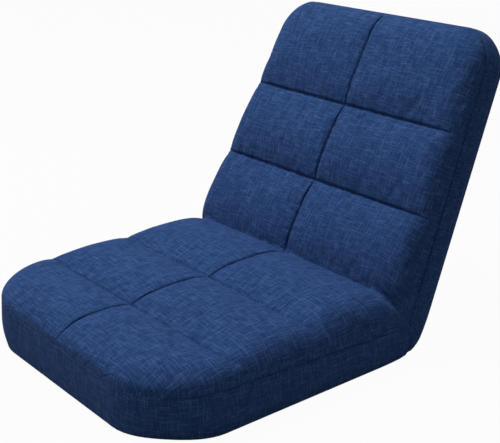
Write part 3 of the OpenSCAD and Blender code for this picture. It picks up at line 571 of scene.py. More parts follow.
def outline(pad):
    """Stations of one side: x, y, and the way out, from the hinge's cloth round the corner to the middle."""
    sides = np.arange(GUSSET, pad.length - pad.corner, STATION)
    stations = [(side_at(pad, at), at, 1.0, 0.0) for at in sides]
    for a in np.radians(np.linspace(0, 90, CORNER_STATIONS)):
        at = pad.length - pad.corner * (1 - math.sin(a))
        wide = (HALF_W - pad.corner * (1 - math.cos(a))) * side_at(pad, at) / HALF_W
        stations.append((wide, at, math.cos(a), math.sin(a)))
    for wide in np.linspace(stations[-1][0], 0, END_STATIONS)[1:]:
        stations.append((wide, pad.length, 0.0, 1.0))
    return np.array(stations)


def bulge(t, hold=1.0):
    """How far the band stands out at a share t of its height."""
    return BAND_BULGE * np.sin(math.pi * t ** BULGE_LOW) - SEAM_DIP * hold * np.exp(-(t / SEAM_DIP_W) ** 2)


def band_rows(pad):
    """Rows of one pad's band: down its height, round its lower edge and in below."""
    bx, by, nx, ny = outline(pad).T
    top, low = seam_height(pad, by), pad.under + EDGE_R
    hold = seam_hold(pad, by)
    tuck = pad.corner_tuck * 4 * (nx * ny) ** 2
    out = []
    for t in BAND_SHARES:
        shift = bulge(t, hold) - tuck * t * t
        out.append(place(pad, bx + nx * shift, by + ny * shift, mix(top, low, t)))
    for a in EDGE_ANGLES:
        inset = EDGE_R * (1 - math.cos(a)) + tuck
        out.append(place(pad, bx - nx * inset, by - ny * inset, low - EDGE_R * math.sin(a) + 0 * bx))
    inset = EDGE_R + TURN_IN + tuck
    out.append(place(pad, bx - nx * inset, by - ny * inset, pad.under + TURN_IN_Z + 0 * bx))
    return np.array(out)


# %% [markdown]
# At the hinge the seat's band meets the back's. The cloth there runs round the lower corner in an even
# curve, drawn as a line from the side, and folds in a little where the two bands meet.

# %% Cloth round the hinge
# Lower line of the cloth at the hinge, seen from the side: (y, z) from the hinge axis
HINGE_LINE = np.array([[-50, -35], [-30, -34.3], [-15, -32.2], [-4, -28.8], [5, -24.4], [13, -18.8],
                       [20, -11], [27.5, 1.5], [36, 18], [44, 36.5]])
HUB_STEPS = 40
FOLD_DEPTH, FOLD_W, FOLD_TOP, FOLD_FOOT = 3.2, 0.022, 0.5, 0.37


def side_view(pad, y, z):
    return place(pad, 0.0, y, z)[..., 1:] / MM - [HINGE_Y, HINGE_Z]


def along_line(line, t):
    """Points at the shares t of a line's length."""
    reach = np.concatenate([[0], np.cumsum(np.linalg.norm(np.diff(line, axis=0), axis=-1))])
    return np.stack([np.interp(t, reach / reach[-1], line[:, c]) for c in (0, 1)], -1)


low_line = np.concatenate([[side_view(SEAT, GUSSET, SEAT.under)], HINGE_LINE,
                           [side_view(BACK, GUSSET, BACK.under)]])
top_line = np.array([side_view(SEAT, GUSSET, seam_height(SEAT, GUSSET)), [-MITRE / math.tan(HALF), MITRE],
                     side_view(BACK, GUSSET, seam_height(BACK, GUSSET))])


def fold(t, s):
    """Depth of the fold at t round the hinge and s down the band; it leans forward on its way down."""
    return FOLD_DEPTH * np.exp(-((t - mix(FOLD_TOP, FOLD_FOOT, s)) / FOLD_W) ** 2)


def hub_rows():
    """Rows of the cloth between the two pads' bands, which continue theirs."""
    t = np.arange(1, HUB_STEPS) / HUB_STEPS
    low, top = along_line(low_line, t), along_line(top_line, t)
    around = np.gradient(along_line(low_line, np.arange(HUB_STEPS + 1) / HUB_STEPS), axis=0)[1:-1]
    around /= np.linalg.norm(around, axis=-1, keepdims=True)
    up = np.stack([-around[:, 1], around[:, 0]], -1)
    wide = mix(HALF_W, side_at(BACK, GUSSET), t)

    def row(out, line):
        return np.stack([wide + out, line[:, 0] + HINGE_Y, line[:, 1] + HINGE_Z], -1) * MM

    foot = fold(t, 1.0)
    lift = (up.T * foot).T / 2
    out = [row(bulge(s) - fold(t, s) * (s > 0), mix(top, low + up * EDGE_R, s)) for s in BAND_SHARES]
    out += [row(-EDGE_R * (1 - math.cos(a)) - foot * math.cos(a),
                low + up * EDGE_R * (1 - math.sin(a)) + lift * math.sin(a)) for a in EDGE_ANGLES]
    out.append(row(-EDGE_R - TURN_IN + 0 * t, low + up * TURN_IN_Z))
    return np.array(out)


right = np.concatenate([band_rows(SEAT)[:, ::-1], hub_rows(), band_rows(BACK)], axis=1)
left = right[:, ::-1] * [-1, 1, 1]
band = np.concatenate([right, left[:, 1:-1]], axis=1)
print("band stations:", band.shape[1])

# %% Side band mesh
LENGTH_ROW = 6


def loop_mesh(name, grid, along, down):
    """A closed strip; its weave lies at these distances along the strip and down it."""
    rows, cols = grid.shape[:2]
    faces, uv = [], []
    for i in range(rows - 1):
        for j in range(cols):
            m = (j + 1) % cols
            faces.append([i * cols + j, (i + 1) * cols + j, (i + 1) * cols + m, i * cols + m])
            for k, row in ((j, i), (j, i + 1), (j + 1, i + 1), (j + 1, i)):
                uv += [along[k], down[row]]
    piece = make_mesh(name, grid.reshape(-1, 3), faces)
    piece.data.uv_layers.new(name="weave").data.foreach_set("uv", np.array(uv, np.float32))
    return piece


closed = np.concatenate([band, band[:, :1]], axis=1)
band_along = run_length(closed[LENGTH_ROW:LENGTH_ROW + 1], 1)[0]
band_down = run_length(band[:, :1], 0)[:, 0]
side_band = loop_mesh("side_band", band, band_along, band_down)
print("band:", round(band_along[-1], 3), "m long,", round(band_down[-1], 3), "m wide at the seat's front")

# %% [markdown]
# ## Rear cloth
# The back is closed by one plain sheet that runs from the top edge down the rear face, round the hinge and
# in under the seat. It swells a little over the foam between its sides. It is a grid too, because its rows
# can then follow the same line round the hinge as the band does.

# %% Rear cloth mesh
REAR_COLUMNS, REAR_FINE, REAR_COARSE = 49, 3, 14
REAR_SWELL, SWELL_START, HINGE_CALM, HINGE_FADE = 4.0, 60, 20, 90


def rear_rows():
    """Rows from the back's top edge to the foot of the back, and on round the hinge."""
    shares = np.linspace(-1, 1, REAR_COLUMNS)
    swell_x = 1 - shares ** 4
    out = []
    for at in both_ends(GUSSET, BACK.length - EDGE_R, REAR_FINE, REAR_COARSE)[::-1]:
        wide = half_at(BACK, at + EDGE_R * at / BACK.length) - EDGE_R
        start = math.sin(np.clip((BACK.length - EDGE_R - at) / SWELL_START, 0, 1) * math.pi / 2)
        swelling = REAR_SWELL * swell_x * start * np.clip((at - HINGE_CALM) / HINGE_FADE, 0, 1)
        out.append(place(BACK, shares * wide, at, BACK.under - swelling))
    for y, z in low_line[-2:0:-1]:
        across = shares * (HALF_W - EDGE_R)
        out.append(np.stack(np.broadcast_arrays(across, y + HINGE_Y, z + HINGE_Z), -1) * MM)
    return np.array(out)


rear = rear_rows()
rear_u, rear_v = run_length(rear, 1), run_length(rear, 0)
rear_cloth = make_mesh("rear_cloth", rear.reshape(-1, 3), grid_faces(*rear.shape[:2]),
                       np.stack([rear_u, rear_v], -1).reshape(-1, 2))
print("rear cloth:", round(rear_u[:, -1].max(), 3), "x", round(rear_v[-1, REAR_COLUMNS // 2], 3), "m")

# %% [markdown]
# ## Underside cloth
# A dark, hard-wearing sheet closes the seat below. Its edge lies over the band's turned-in edge, and it has
# a long opening for the zip, through which the maker puts the frame and foam in. It is cut flat, so it is
# one flat grid that rises a little at its edges, with the cells of the opening left out. That needs no
# boolean cut, which would leave long thin faces.

# %% Underside cloth mesh
HEM, HEM_RISE, HEM_W = 13.0, 1.9, 12.0
HEM_INSETS = np.linspace(9, 0, 4)
SHEET_Z, UNDER_START = 0.6, 42.0
ZIP_Y, ZIP_LENGTH, OPENING_L, OPENING_W = 100.0, 360.0, 352.0, 12.0


def underside():
    """Points and faces of the sheet; the counts keep its cells about 10 to 15 mm wide."""
    half, end, corner = HALF_W - HEM, SEAT.length - HEM, SEAT.corner - HEM
    sides = np.concatenate([np.linspace(OPENING_L / 2, half - HEM_W, 8), half - HEM_INSETS])
    stations = np.concatenate([-sides[::-1], np.linspace(-OPENING_L / 2, OPENING_L / 2, 33)[1:-1], sides])
    zip_edges = ZIP_Y + np.array([-OPENING_W / 2, OPENING_W / 2])
    y = np.concatenate([UNDER_START + np.linspace(0, HEM_W, 5),
                        np.linspace(UNDER_START + 1.5 * HEM_W, zip_edges[0], 5),
                        np.linspace(zip_edges[1], end - corner, 24),
                        np.linspace(end - corner, end - HEM_W, 14)[1:], end - HEM_INSETS])
    past = np.maximum(y - (end - corner), 0)
    share = (half - corner + np.sqrt(corner ** 2 - past ** 2)) / half
    x = stations * share[:, None]
    edge = np.minimum(half * share[:, None] - np.abs(x), np.minimum(end - y, y - UNDER_START)[:, None])
    t = np.clip(edge / HEM_W, 0, 1)
    z = SHEET_Z + HEM_RISE * (1 - t * t * (3 - 2 * t))
    points = np.stack([x, np.broadcast_to(HINGE_Y - y[:, None], x.shape), z], -1) * MM
    middle_x = np.abs(stations[:-1] + stations[1:]) / 2 < OPENING_L / 2
    middle_y = np.abs((y[:-1] + y[1:]) / 2 - ZIP_Y) < OPENING_W / 2
    open_cells = (middle_y[:, None] & middle_x[None]).ravel()
    cells = [cell for cell, is_open in zip(grid_faces(*x.shape), open_cells) if not is_open]
    return points.reshape(-1, 3), cells


under_points, under_cells = underside()
underside_cloth = make_mesh("underside_cloth", under_points, under_cells, under_points[:, :2])
print("underside cloth:", len(under_cells), "faces")

# %% [markdown]
# ## Linen-look cloth
# The yarn is thick and thin along its length. The thick places, called slubs, show as short light streaks
# that run both ways over a fine grain. A noise stretched along the threads gives streaks but no threads, so
# here the threads are numbered: each is cut into pieces of random tone, and where two cross, they lie on
# top by turns. The pattern is laid on the cloth's own flat layout, so it bends with the cloth and stays in
# place when the chair folds.


# %% Node helpers
def put(tree, kind, options=None, **inputs):
    """Adds a node, sets its options, and links or sets its inputs; _0 means the first input."""
    node = tree.nodes.new(kind)
    for option, value in (options or {}).items():
        setattr(node, option, value)
    for label, value in inputs.items():
        socket = node.inputs[int(label[1:]) if label[1:].isdigit() else label.replace("_", " ")]
        if isinstance(value, bpy.types.NodeSocket):
            tree.links.new(value, socket)
        else:
            socket.default_value = value
    return node.outputs


def calc(tree, operation, a, b=0.0, clamp=False):
    return put(tree, "ShaderNodeMath", {"operation": operation, "use_clamp": clamp}, _0=a, _1=b)[0]


def times(tree, value, factor):
    return calc(tree, "MULTIPLY", value, factor)


def new_material(name):
    material = bpy.data.materials.new(name)
    material.use_nodes = True
    tree = material.node_tree
    return material, tree, tree.nodes["Principled BSDF"]


def colour_ramp(tree, value, stops):
    ramp = tree.nodes.new("ShaderNodeValToRGB")
    ends = ramp.color_ramp.elements
    ends[0].position, ends[0].color = stops[0][0], (*stops[0][1], 1)
    ends[1].position, ends[1].color = stops[-1][0], (*stops[-1][1], 1)
    for at, colour in stops[1:-1]:
        ends.new(at).color = (*colour, 1)
    tree.links.new(value, ramp.inputs["Fac"])
    return ramp.outputs["Color"]


def finish(node, **values):
    """Sets numbers and colours on a node's own sockets."""
    for label, value in values.items():
        node.inputs[label.replace("_", " ")].default_value = value


def paint(tree, shader, colour, height, depth, strength):
    """Gives a shader its pattern of colour and its fine bumps."""
    tree.links.new(colour, shader.inputs["Base Color"])
    bumps = put(tree, "ShaderNodeBump", Strength=strength, Distance=depth, Height=height)["Normal"]
    tree.links.new(bumps, shader.inputs["Normal"])


# %% Threads
THREAD, SLUB = 0.00075, 0.015
PIECE_SHIFT, SEED_STEP = 7.0, 31.0


def random_tone(tree, a, b):
    """One random number for each pair of whole numbers."""
    pair = put(tree, "ShaderNodeCombineXYZ", X=a, Y=b)[0]
    return put(tree, "ShaderNodeTexWhiteNoise", {"noise_dimensions": "2D"}, Vector=pair)["Value"]


def threads(tree, across, along, seed):
    """Tone, roundness and number of threads that lie side by side across and run along."""
    turns = calc(tree, "DIVIDE", across, THREAD)
    number = calc(tree, "FLOOR", turns)
    shift = times(tree, random_tone(tree, number, seed), PIECE_SHIFT)
    piece = calc(tree, "FLOOR", calc(tree, "ADD", calc(tree, "DIVIDE", along, SLUB), shift))
    tone = random_tone(tree, number, calc(tree, "ADD", piece, seed * SEED_STEP))
    off = calc(tree, "SUBTRACT", times(tree, calc(tree, "FRACT", turns), 2.0), 1.0)
    return tone, calc(tree, "SUBTRACT", 1.0, times(tree, off, off)), number


# %% Linen
YARN_SHARE, ROUND_SHARE, SLUB_SHARE, SLUB_FROM = 0.56, 0.16, 0.27, 0.74
WEAVE_DEPTH, WEAVE_STRENGTH = 0.0003, 0.4
LINEN_TONES = [(0.0, (0.009, 0.028, 0.098)), (0.5, (0.026, 0.068, 0.202)), (0.8, (0.046, 0.106, 0.285)),
               (1.0, (0.092, 0.175, 0.390))]


def slub(tree, tone):
    """1 on the lightest pieces of a thread, 0 on most."""
    return put(tree, "ShaderNodeMapRange", {"interpolation_type": "SMOOTHSTEP"},
               Value=tone, From_Min=SLUB_FROM, From_Max=1.0)["Result"]


def linen(name):
    material, tree, shader = new_material(name)
    layout = put(tree, "ShaderNodeUVMap", {"uv_map": "weave"})["UV"]
    across, along = put(tree, "ShaderNodeSeparateXYZ", Vector=layout)[:2]
    warp, warp_round, i = threads(tree, across, along, 1.0)
    weft, weft_round, j = threads(tree, along, across, 2.0)
    over = calc(tree, "FLOORED_MODULO", calc(tree, "ADD", i, j), 2.0)
    under = calc(tree, "SUBTRACT", 1.0, over)

    def on_top(of_warp, of_weft):
        """The value of the thread that lies on top."""
        return calc(tree, "ADD", times(tree, of_warp, over), times(tree, of_weft, under))

    relief = on_top(warp_round, weft_round)
    slubs = calc(tree, "MAXIMUM", slub(tree, warp), slub(tree, weft))
    tone = calc(tree, "ADD", times(tree, on_top(warp, weft), YARN_SHARE), times(tree, relief, ROUND_SHARE))
    tone = calc(tree, "ADD", tone, times(tree, slubs, SLUB_SHARE), clamp=True)
    finish(shader, Roughness=0.92, Sheen_Weight=0.015, Sheen_Roughness=0.5, Specular_IOR_Level=0.06)
    paint(tree, shader, colour_ramp(tree, tone, LINEN_TONES), relief, WEAVE_DEPTH, WEAVE_STRENGTH)
    return material


blue_linen = linen("blue_linen")
LINEN_PIECES = (cushion, side_band, rear_cloth)
for piece in LINEN_PIECES:
    piece.data.materials.append(blue_linen)
print("linen on", len(LINEN_PIECES), "pieces")

# %% [markdown]
# ## Other finishes
# Below and inside there are dark non-woven cloth, soft rubber dots, woven zip tape, moulded plastic teeth,
# matt powder coat with its fine orange-peel skin on the tubes, and bright zinc with faint cloudy crystals
# on the hinge parts. None is one even colour. One function makes them all, from fine spots over wide
# clouds, because they differ only in tones, scale and gloss.

# %% Other finishes
SPOT_SHARE, CLOUD_SHARE, CLOUD_SIZE = 0.6, 0.4, 12
SPOT_DETAIL, CLOUD_DETAIL = 3.0, 1.0
DARK_AT, LIGHT_AT, SKIN_STRENGTH = 0.35, 0.65, 0.5


def noise(tree, vector, repeats, detail):
    return put(tree, "ShaderNodeTexNoise", Vector=vector, Scale=repeats, Detail=detail)["Fac"]


def speckled(name, dark, light, repeats, roughness, metallic=0.0, relief=0.0001, specular=0.5):
    """A finish whose tone and skin vary; repeats is the count of its spots for each metre."""
    material, tree, shader = new_material(name)
    place_on = put(tree, "ShaderNodeTexCoord")["Object"]
    spots = noise(tree, place_on, repeats, SPOT_DETAIL)
    clouds = noise(tree, place_on, repeats / CLOUD_SIZE, CLOUD_DETAIL)
    tone = calc(tree, "ADD", times(tree, spots, SPOT_SHARE), times(tree, clouds, CLOUD_SHARE))
    finish(shader, Roughness=roughness, Metallic=metallic, Specular_IOR_Level=specular)
    colour = colour_ramp(tree, tone, [(DARK_AT, dark), (LIGHT_AT, light)])
    paint(tree, shader, colour, spots, relief, SKIN_STRENGTH)
    return material


under_felt = speckled("under_felt", (0.008, 0.009, 0.012), (0.022, 0.024, 0.030), 900, 0.95, specular=0.15)
dot_rubber = speckled("dot_rubber", (0.030, 0.031, 0.034), (0.052, 0.053, 0.056), 1400, 0.6)
tape_cloth = speckled("tape_cloth", (0.006, 0.009, 0.022), (0.014, 0.020, 0.044), 1100, 0.85, specular=0.2)
tooth_plastic = speckled("tooth_plastic", (0.008, 0.011, 0.024), (0.016, 0.021, 0.040), 700, 0.35)
powder_coat = speckled("powder_coat", (0.010, 0.010, 0.011), (0.020, 0.020, 0.022), 1600, 0.42,
                       relief=0.00012)
zinc = speckled("zinc", (0.46, 0.47, 0.50), (0.66, 0.67, 0.70), 260, 0.33, 1.0, 0.00003)
yarn = speckled("yarn", (0.012, 0.033, 0.110), (0.028, 0.068, 0.200), 1500, 0.8, specular=0.2)
underside_cloth.data.materials.append(under_felt)

TUBES = ("seat_frame_tube", "seat_front_cross_bar", "seat_rear_cross_bar", "back_frame_tube",
         "back_lower_cross_bar", "back_upper_cross_bar")
for name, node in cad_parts.items():
    node.data.materials.clear()
    node.data.materials.append(powder_coat if name in TUBES else zinc)
print("finishes:", len(bpy.data.materials))

# %% [markdown]
# ## Small repeated parts
# Rubber dots keep the seat from sliding on a wooden floor, teeth close the zip, and stitches hold the
# quilting. Each is one small shape repeated along a line or over a sheet. A loop could copy it, but Geometry
# Nodes place hundreds at once, and their spacing is a named input. The outcome is kept as a plain mesh that
# can move with its body.


# %% Geometry Nodes helpers
def geometry_tree(name, **sockets):
    """A tree with geometry in and out and the named inputs."""
    tree = bpy.data.node_groups.new(name, "GeometryNodeTree")
    tree.interface.new_socket("Geometry", in_out="INPUT", socket_type="NodeSocketGeometry")
    tree.interface.new_socket("Geometry", in_out="OUTPUT", socket_type="NodeSocketGeometry")
    for label, kind in sockets.items():
        tree.interface.new_socket(label, in_out="INPUT", socket_type="NodeSocket" + kind)
    return tree, tree.nodes.new("NodeGroupInput").outputs


def bead(tree, width, length, height):
    """A small rounded shape of the given half sizes."""
    ball = put(tree, "GeometryNodeMeshUVSphere", Segments=8, Rings=4, Radius=1.0)[0]
    size = put(tree, "ShaderNodeCombineXYZ", X=width, Y=length, Z=height)[0]
    return put(tree, "GeometryNodeTransform", Geometry=ball, Scale=size)[0]


def repeat_on(tree, points, shape, material, **turned):
    """Ends a tree: the shape on each point, as real geometry with its material."""
    spread = put(tree, "GeometryNodeInstanceOnPoints", Points=points, Instance=shape, **turned)[0]
    real = put(tree, "GeometryNodeRealizeInstances", Geometry=spread)[0]
    smooth = put(tree, "GeometryNodeSetShadeSmooth", Geometry=real)[0]
    painted = put(tree, "GeometryNodeSetMaterial", Geometry=smooth, Material=material)[0]
    tree.links.new(painted, tree.nodes.new("NodeGroupOutput").inputs[0])


def grow(name, base, tree, **values):
    """Runs a tree on a mesh and keeps the outcome as a plain mesh of its own."""
    modifier = base.modifiers.new(name, "NODES")
    modifier.node_group = tree
    for item in tree.interface.items_tree:
        if item.in_out == "INPUT" and item.name in values:
            modifier[item.identifier] = values[item.name]
    graph = bpy.context.evaluated_depsgraph_get()
    mesh = bpy.data.meshes.new_from_object(base.evaluated_get(graph), depsgraph=graph)
    base.modifiers.remove(modifier)
    mesh.materials.clear()
    mesh.materials.append(values["Material"])
    print(name + ":", len(mesh.polygons), "faces")
    return link(name, mesh)


# %% [markdown]
# The dots stand in staggered columns on the flat part of the underside. A grid of points is dropped onto
# the sheet from below, and the points that miss it, land on its risen hem or lie beside the zip are deleted.
# Columns that stand the square root of three quarters of the pitch apart put six dots round each one.

# %% Rubber dots
DOTS_ACROSS, DOTS_ALONG = 43, 33
DOT_PITCH, DOT_R, DOT_CLEAR = 0.013, 0.0021, 0.011
LEVEL_SLACK = 0.05
RAY_DROP, RAY_LENGTH = 0.05, 0.2
SHEET_MIDDLE = (HINGE_Y - (UNDER_START + SEAT.length - HEM) / 2) * MM
ZIP_AT = (HINGE_Y - ZIP_Y) * MM

tree, given = geometry_tree("dots", Pitch="Float", Radius="Float", Height="Float", Clear="Float",
                            Level="Float", Material="Material")
field = put(tree, "GeometryNodeMeshGrid", Vertices_X=DOTS_ACROSS, Vertices_Y=DOTS_ALONG,
            Size_X=times(tree, given["Pitch"], (DOTS_ACROSS - 1) * math.sqrt(0.75)),
            Size_Y=times(tree, given["Pitch"], DOTS_ALONG - 1.0))[0]
column = calc(tree, "FLOOR", calc(tree, "DIVIDE", put(tree, "GeometryNodeInputIndex")[0], float(DOTS_ALONG)))
half_step = times(tree, times(tree, calc(tree, "MODULO", column, 2.0), given["Pitch"]), 0.5)
stagger = put(tree, "ShaderNodeCombineXYZ", Y=calc(tree, "ADD", half_step, SHEET_MIDDLE))[0]
field = put(tree, "GeometryNodeSetPosition", Geometry=field, Offset=stagger)[0]
here = put(tree, "GeometryNodeInputPosition")[0]
under_it = put(tree, "ShaderNodeVectorMath", {"operation": "ADD"}, _0=here, _1=(0, 0, -RAY_DROP))[0]
ray = put(tree, "GeometryNodeRaycast", Target_Geometry=given["Geometry"], Source_Position=under_it,
          Ray_Direction=(0, 0, 1), Ray_Length=RAY_LENGTH)
landed = put(tree, "ShaderNodeSeparateXYZ", Vector=ray["Hit Position"])
off_zip = calc(tree, "ABSOLUTE", calc(tree, "SUBTRACT", landed[1], ZIP_AT))
kept = times(tree, calc(tree, "GREATER_THAN", off_zip, given["Clear"]),
             calc(tree, "LESS_THAN", landed[2], given["Level"]))
kept = times(tree, kept, ray["Is Hit"])
field = put(tree, "GeometryNodeDeleteGeometry", {"domain": "POINT"}, Geometry=field,
            Selection=calc(tree, "LESS_THAN", kept, 0.5))[0]
field = put(tree, "GeometryNodeSetPosition", Geometry=field, Position=ray["Hit Position"])[0]
repeat_on(tree, field, bead(tree, given["Radius"], given["Radius"], given["Height"]), given["Material"])
rubber_dots = grow("rubber_dots", underside_cloth, tree, Pitch=DOT_PITCH, Radius=DOT_R, Height=SHEET_Z * MM,
                   Clear=DOT_CLEAR, Level=(SHEET_Z + LEVEL_SLACK) * MM, Material=dot_rubber)

# %% [markdown]
# ## Zip
# The zip has two cloth tapes, a row of meshed teeth and a slider with a puller that lies flat in the
# opening. The slider runs 320 mm along the tape on its own joint. Its plates stand above and below the
# teeth, and a bridge between them parts the two rows. These are small plain shapes, so they are boxes with
# rounded edges, joined into one mesh for each piece.

# %% Zip tapes and stops
TAPE_Z, TAPE_T, TAPE_W, TAPE_GAP, TAPE_ROUND = 3.2, 0.5, 8.0, 0.7, 0.15
STOP_FROM, STOP_TO, STOP_HALF_W, STOP_LOW, STOP_HIGH, STOP_ROUND = 4, 1, 2.4, 0.9, 1.2, 0.4
ZIP_MIDDLE = HINGE_Y - ZIP_Y


def block(bm, low, high, radius):
    """Adds a box with rounded edges; sizes are in millimetres."""
    low, high = Vector(low) * MM, Vector(high) * MM
    made = bmesh.ops.create_cube(bm, size=1.0)["verts"]
    for vert in made:
        vert.co = Vector((c + 0.5) * (h - l) + l for c, l, h in zip(vert.co, low, high))
    edges = list({edge for vert in made for edge in vert.link_edges})
    bmesh.ops.bevel(bm, geom=edges, offset=radius * MM, segments=2, affect="EDGES", profile=0.5)


def solid(name, blocks, material, at=(0, 0, 0)):
    """One mesh from several blocks, each given by its lowest and highest corner from a point."""
    bm = bmesh.new()
    for low, high, radius in blocks:
        block(bm, np.add(low, at), np.add(high, at), radius)
    piece = link(name, bpy.data.meshes.new(name))
    bm.to_mesh(piece.data)
    bm.free()
    piece.data.materials.append(material)
    return piece


tape_blocks = []
for side in (-1, 1):
    y0, y1 = sorted((ZIP_MIDDLE + side * TAPE_GAP, ZIP_MIDDLE + side * (TAPE_GAP + TAPE_W)))
    tape_blocks.append(((-ZIP_LENGTH / 2, y0, TAPE_Z), (ZIP_LENGTH / 2, y1, TAPE_Z + TAPE_T), TAPE_ROUND))
zip_tapes = solid("zip_tapes", tape_blocks, tape_cloth)
stop_blocks = []
for end in (-1, 1):
    x0, x1 = sorted((end * (OPENING_L / 2 - STOP_FROM), end * (OPENING_L / 2 - STOP_TO)))
    stop_blocks.append(((x0, ZIP_MIDDLE - STOP_HALF_W, TAPE_Z - STOP_LOW),
                        (x1, ZIP_MIDDLE + STOP_HALF_W, TAPE_Z + STOP_HIGH), STOP_ROUND))
zip_stops = solid("zip_stops", stop_blocks, tooth_plastic)
print("zip tapes and stops:", len(zip_tapes.data.polygons) + len(zip_stops.data.polygons), "faces")

# %% [markdown]
# The meshed teeth are points along one line, moved by turns to its two sides, with a small bead on each.

# %% Zip teeth
# Half sizes of a tooth: along the zip, across it and up
TOOTH = (0.00062, 0.0017, 0.00085)
TOOTH_PITCH, TOOTH_OFFSET, TOOTH_Z = 0.00135, 0.0006, (TAPE_Z + 0.2) * MM
ZIP_REACH = (OPENING_L / 2 - STOP_FROM) * MM

tree, given = geometry_tree("teeth", Pitch="Float", Offset="Float", Material="Material")
line = put(tree, "GeometryNodeMeshToCurve", Mesh=given["Geometry"])[0]
line = put(tree, "GeometryNodeResampleCurve", {"mode": "LENGTH"}, Curve=line, Length=given["Pitch"])[0]
turn = calc(tree, "SUBTRACT", calc(tree, "MODULO", put(tree, "GeometryNodeInputIndex")[0], 2.0), 0.5)
to_side = put(tree, "ShaderNodeCombineXYZ", Y=times(tree, times(tree, turn, given["Offset"]), 2.0))[0]
line = put(tree, "GeometryNodeSetPosition", Geometry=line, Offset=to_side)[0]
repeat_on(tree, line, bead(tree, *TOOTH), given["Material"])


def line_mesh(name, lines):
    """A mesh of edges only, one run for each list of points."""
    points, edges = [], []
    for run in lines:
        edges += [(len(points) + i, len(points) + i + 1) for i in range(len(run) - 1)]
        points += [tuple(float(c) for c in point) for point in run]
    mesh = bpy.data.meshes.new(name)
    mesh.from_pydata(points, edges, [])
    return link(name, mesh)


guide = line_mesh("zip_line", [[(-ZIP_REACH, ZIP_AT, TOOTH_Z), (ZIP_REACH, ZIP_AT, TOOTH_Z)]])
zip_teeth = grow("zip_teeth", guide, tree, Pitch=TOOTH_PITCH, Offset=TOOTH_OFFSET, Material=tooth_plastic)
bpy.data.objects.remove(guide)

# %% Zip slider
SLIDER_AT = (-160.0, ZIP_MIDDLE, 0)
# Lower and upper plate, bridge, the lower plate's two flanges, and the puller's bail with its foot
SLIDER_BLOCKS = [((-5.8, -4.1, 1.45), (5.8, 4.1, 2.35), 0.35), ((-5.8, -4.1, 4.1), (5.8, 4.1, 5.0), 0.35),
                 ((-4.6, -0.9, 2.2), (-1.6, 0.9, 4.2), 0.3), ((-5.2, -4.1, 2.1), (5.2, -3.4, 2.9), 0.2),
                 ((-5.2, 3.4, 2.1), (5.2, 4.1, 2.9), 0.2), ((-2.0, -0.8, 1.1), (5.2, 0.8, 1.6), 0.2),
                 ((4.2, -0.8, 0.4), (5.1, 0.8, 1.5), 0.2)]
# Middle and half sizes of the puller's tab and of its hole, and the heights of its two faces
TAB, TAB_HOLE, TAB_LOW, TAB_HIGH = (8.6, 6.2, 2.7), (4.6, 1.3, 1.4), 0.3, 1.05
LOOP_POINTS = 32


def soft_loop(middle, half_x, half_y, z):
    """A rounded rectangle of points."""
    turn = np.arange(LOOP_POINTS) * 2 * math.pi / LOOP_POINTS
    c, s = np.cos(turn), np.sin(turn)
    return np.stack([middle + half_x * np.sign(c) * np.abs(c) ** 0.5, half_y * np.sign(s) * np.abs(s) ** 0.5,
                     np.full_like(c, z)], -1)


def puller():
    """A flat tab with a hole for the bail: four loops, and quads from each to the next."""
    loops = [soft_loop(*TAB, TAB_HIGH), soft_loop(*TAB, TAB_LOW),
             soft_loop(*TAB_HOLE, TAB_LOW), soft_loop(*TAB_HOLE, TAB_HIGH)]
    n = LOOP_POINTS
    quads = [[a * n + i, a * n + (i + 1) % n, b * n + (i + 1) % n, b * n + i]
             for a, b in ((0, 1), (1, 2), (2, 3), (3, 0)) for i in range(n)]
    return np.concatenate(loops), quads


zip_pull = solid("zip_slider_body", SLIDER_BLOCKS, zinc, SLIDER_AT)
tab_points, tab_quads = puller()
zip_tab = make_mesh("zip_puller", (tab_points + SLIDER_AT) * MM, tab_quads)
turn_outward(zip_tab)
zip_tab.data.polygons.foreach_set("use_smooth", [False] * len(zip_tab.data.polygons))
zip_tab.data.materials.append(zinc)
print("slider:", len(zip_pull.data.polygons) + len(zip_tab.data.polygons), "faces")

# %% [markdown]
# ## Quilting stitches
# The thread lies at the bottom of each sewn line, one short stitch after another. Stitches could be painted
# in the material, but real ones catch the light. The lines are the same grid rows and columns that were
# pressed in, so the stitches follow every dip of the cloth.

# %% Quilting stitches
STITCH_PITCH, STITCH_L, STITCH_R, STITCH_LIFT = 0.0042, 0.0034, 0.00035, 0.25
# Grid points left bare at the middle seam's far ends, at the crease, and at the cross seams' ends
BARE_END, BARE_CREASE, BARE_SIDE = 6, 3, 8

tree, given = geometry_tree("stitches", Spacing="Float", Length="Float", Radius="Float", Material="Material")
line = put(tree, "GeometryNodeMeshToCurve", Mesh=given["Geometry"])[0]
spots = put(tree, "GeometryNodeCurveToPoints", {"mode": "LENGTH"}, Curve=line, Length=given["Spacing"])
along = put(tree, "FunctionNodeAlignRotationToVector", {"axis": "Y"}, Vector=spots["Tangent"])[0]
stitch = bead(tree, given["Radius"], times(tree, given["Length"], 0.5), given["Radius"])
repeat_on(tree, spots["Points"], stitch, given["Material"], Rotation=along)
lifted = fine + grid_normals(fine) * STITCH_LIFT * MM
middle = cols // 2
sewn = [lifted[BARE_END:fine_crease - BARE_CREASE, middle],
        lifted[fine_crease + BARE_CREASE + 1:-BARE_END, middle]]
for i in range(rows):
    pad = BACK if i > fine_crease else SEAT
    if row_distance(pad, fine_flat[i, middle, 1]) < ON_SEAM:
        sewn.append(lifted[i, BARE_SIDE:-BARE_SIDE])
guide = line_mesh("sewn_lines", sewn)
stitches = grow("quilting_stitches", guide, tree, Spacing=STITCH_PITCH, Length=STITCH_L, Radius=STITCH_R,
                Material=yarn)
bpy.data.objects.remove(guide)

# %% [markdown]
# ## Thickness
# The plain cloths were made as single sheets, which are easy to lay out. Solidify gives them their real
# thickness, inwards, so their outer faces stay where they are.

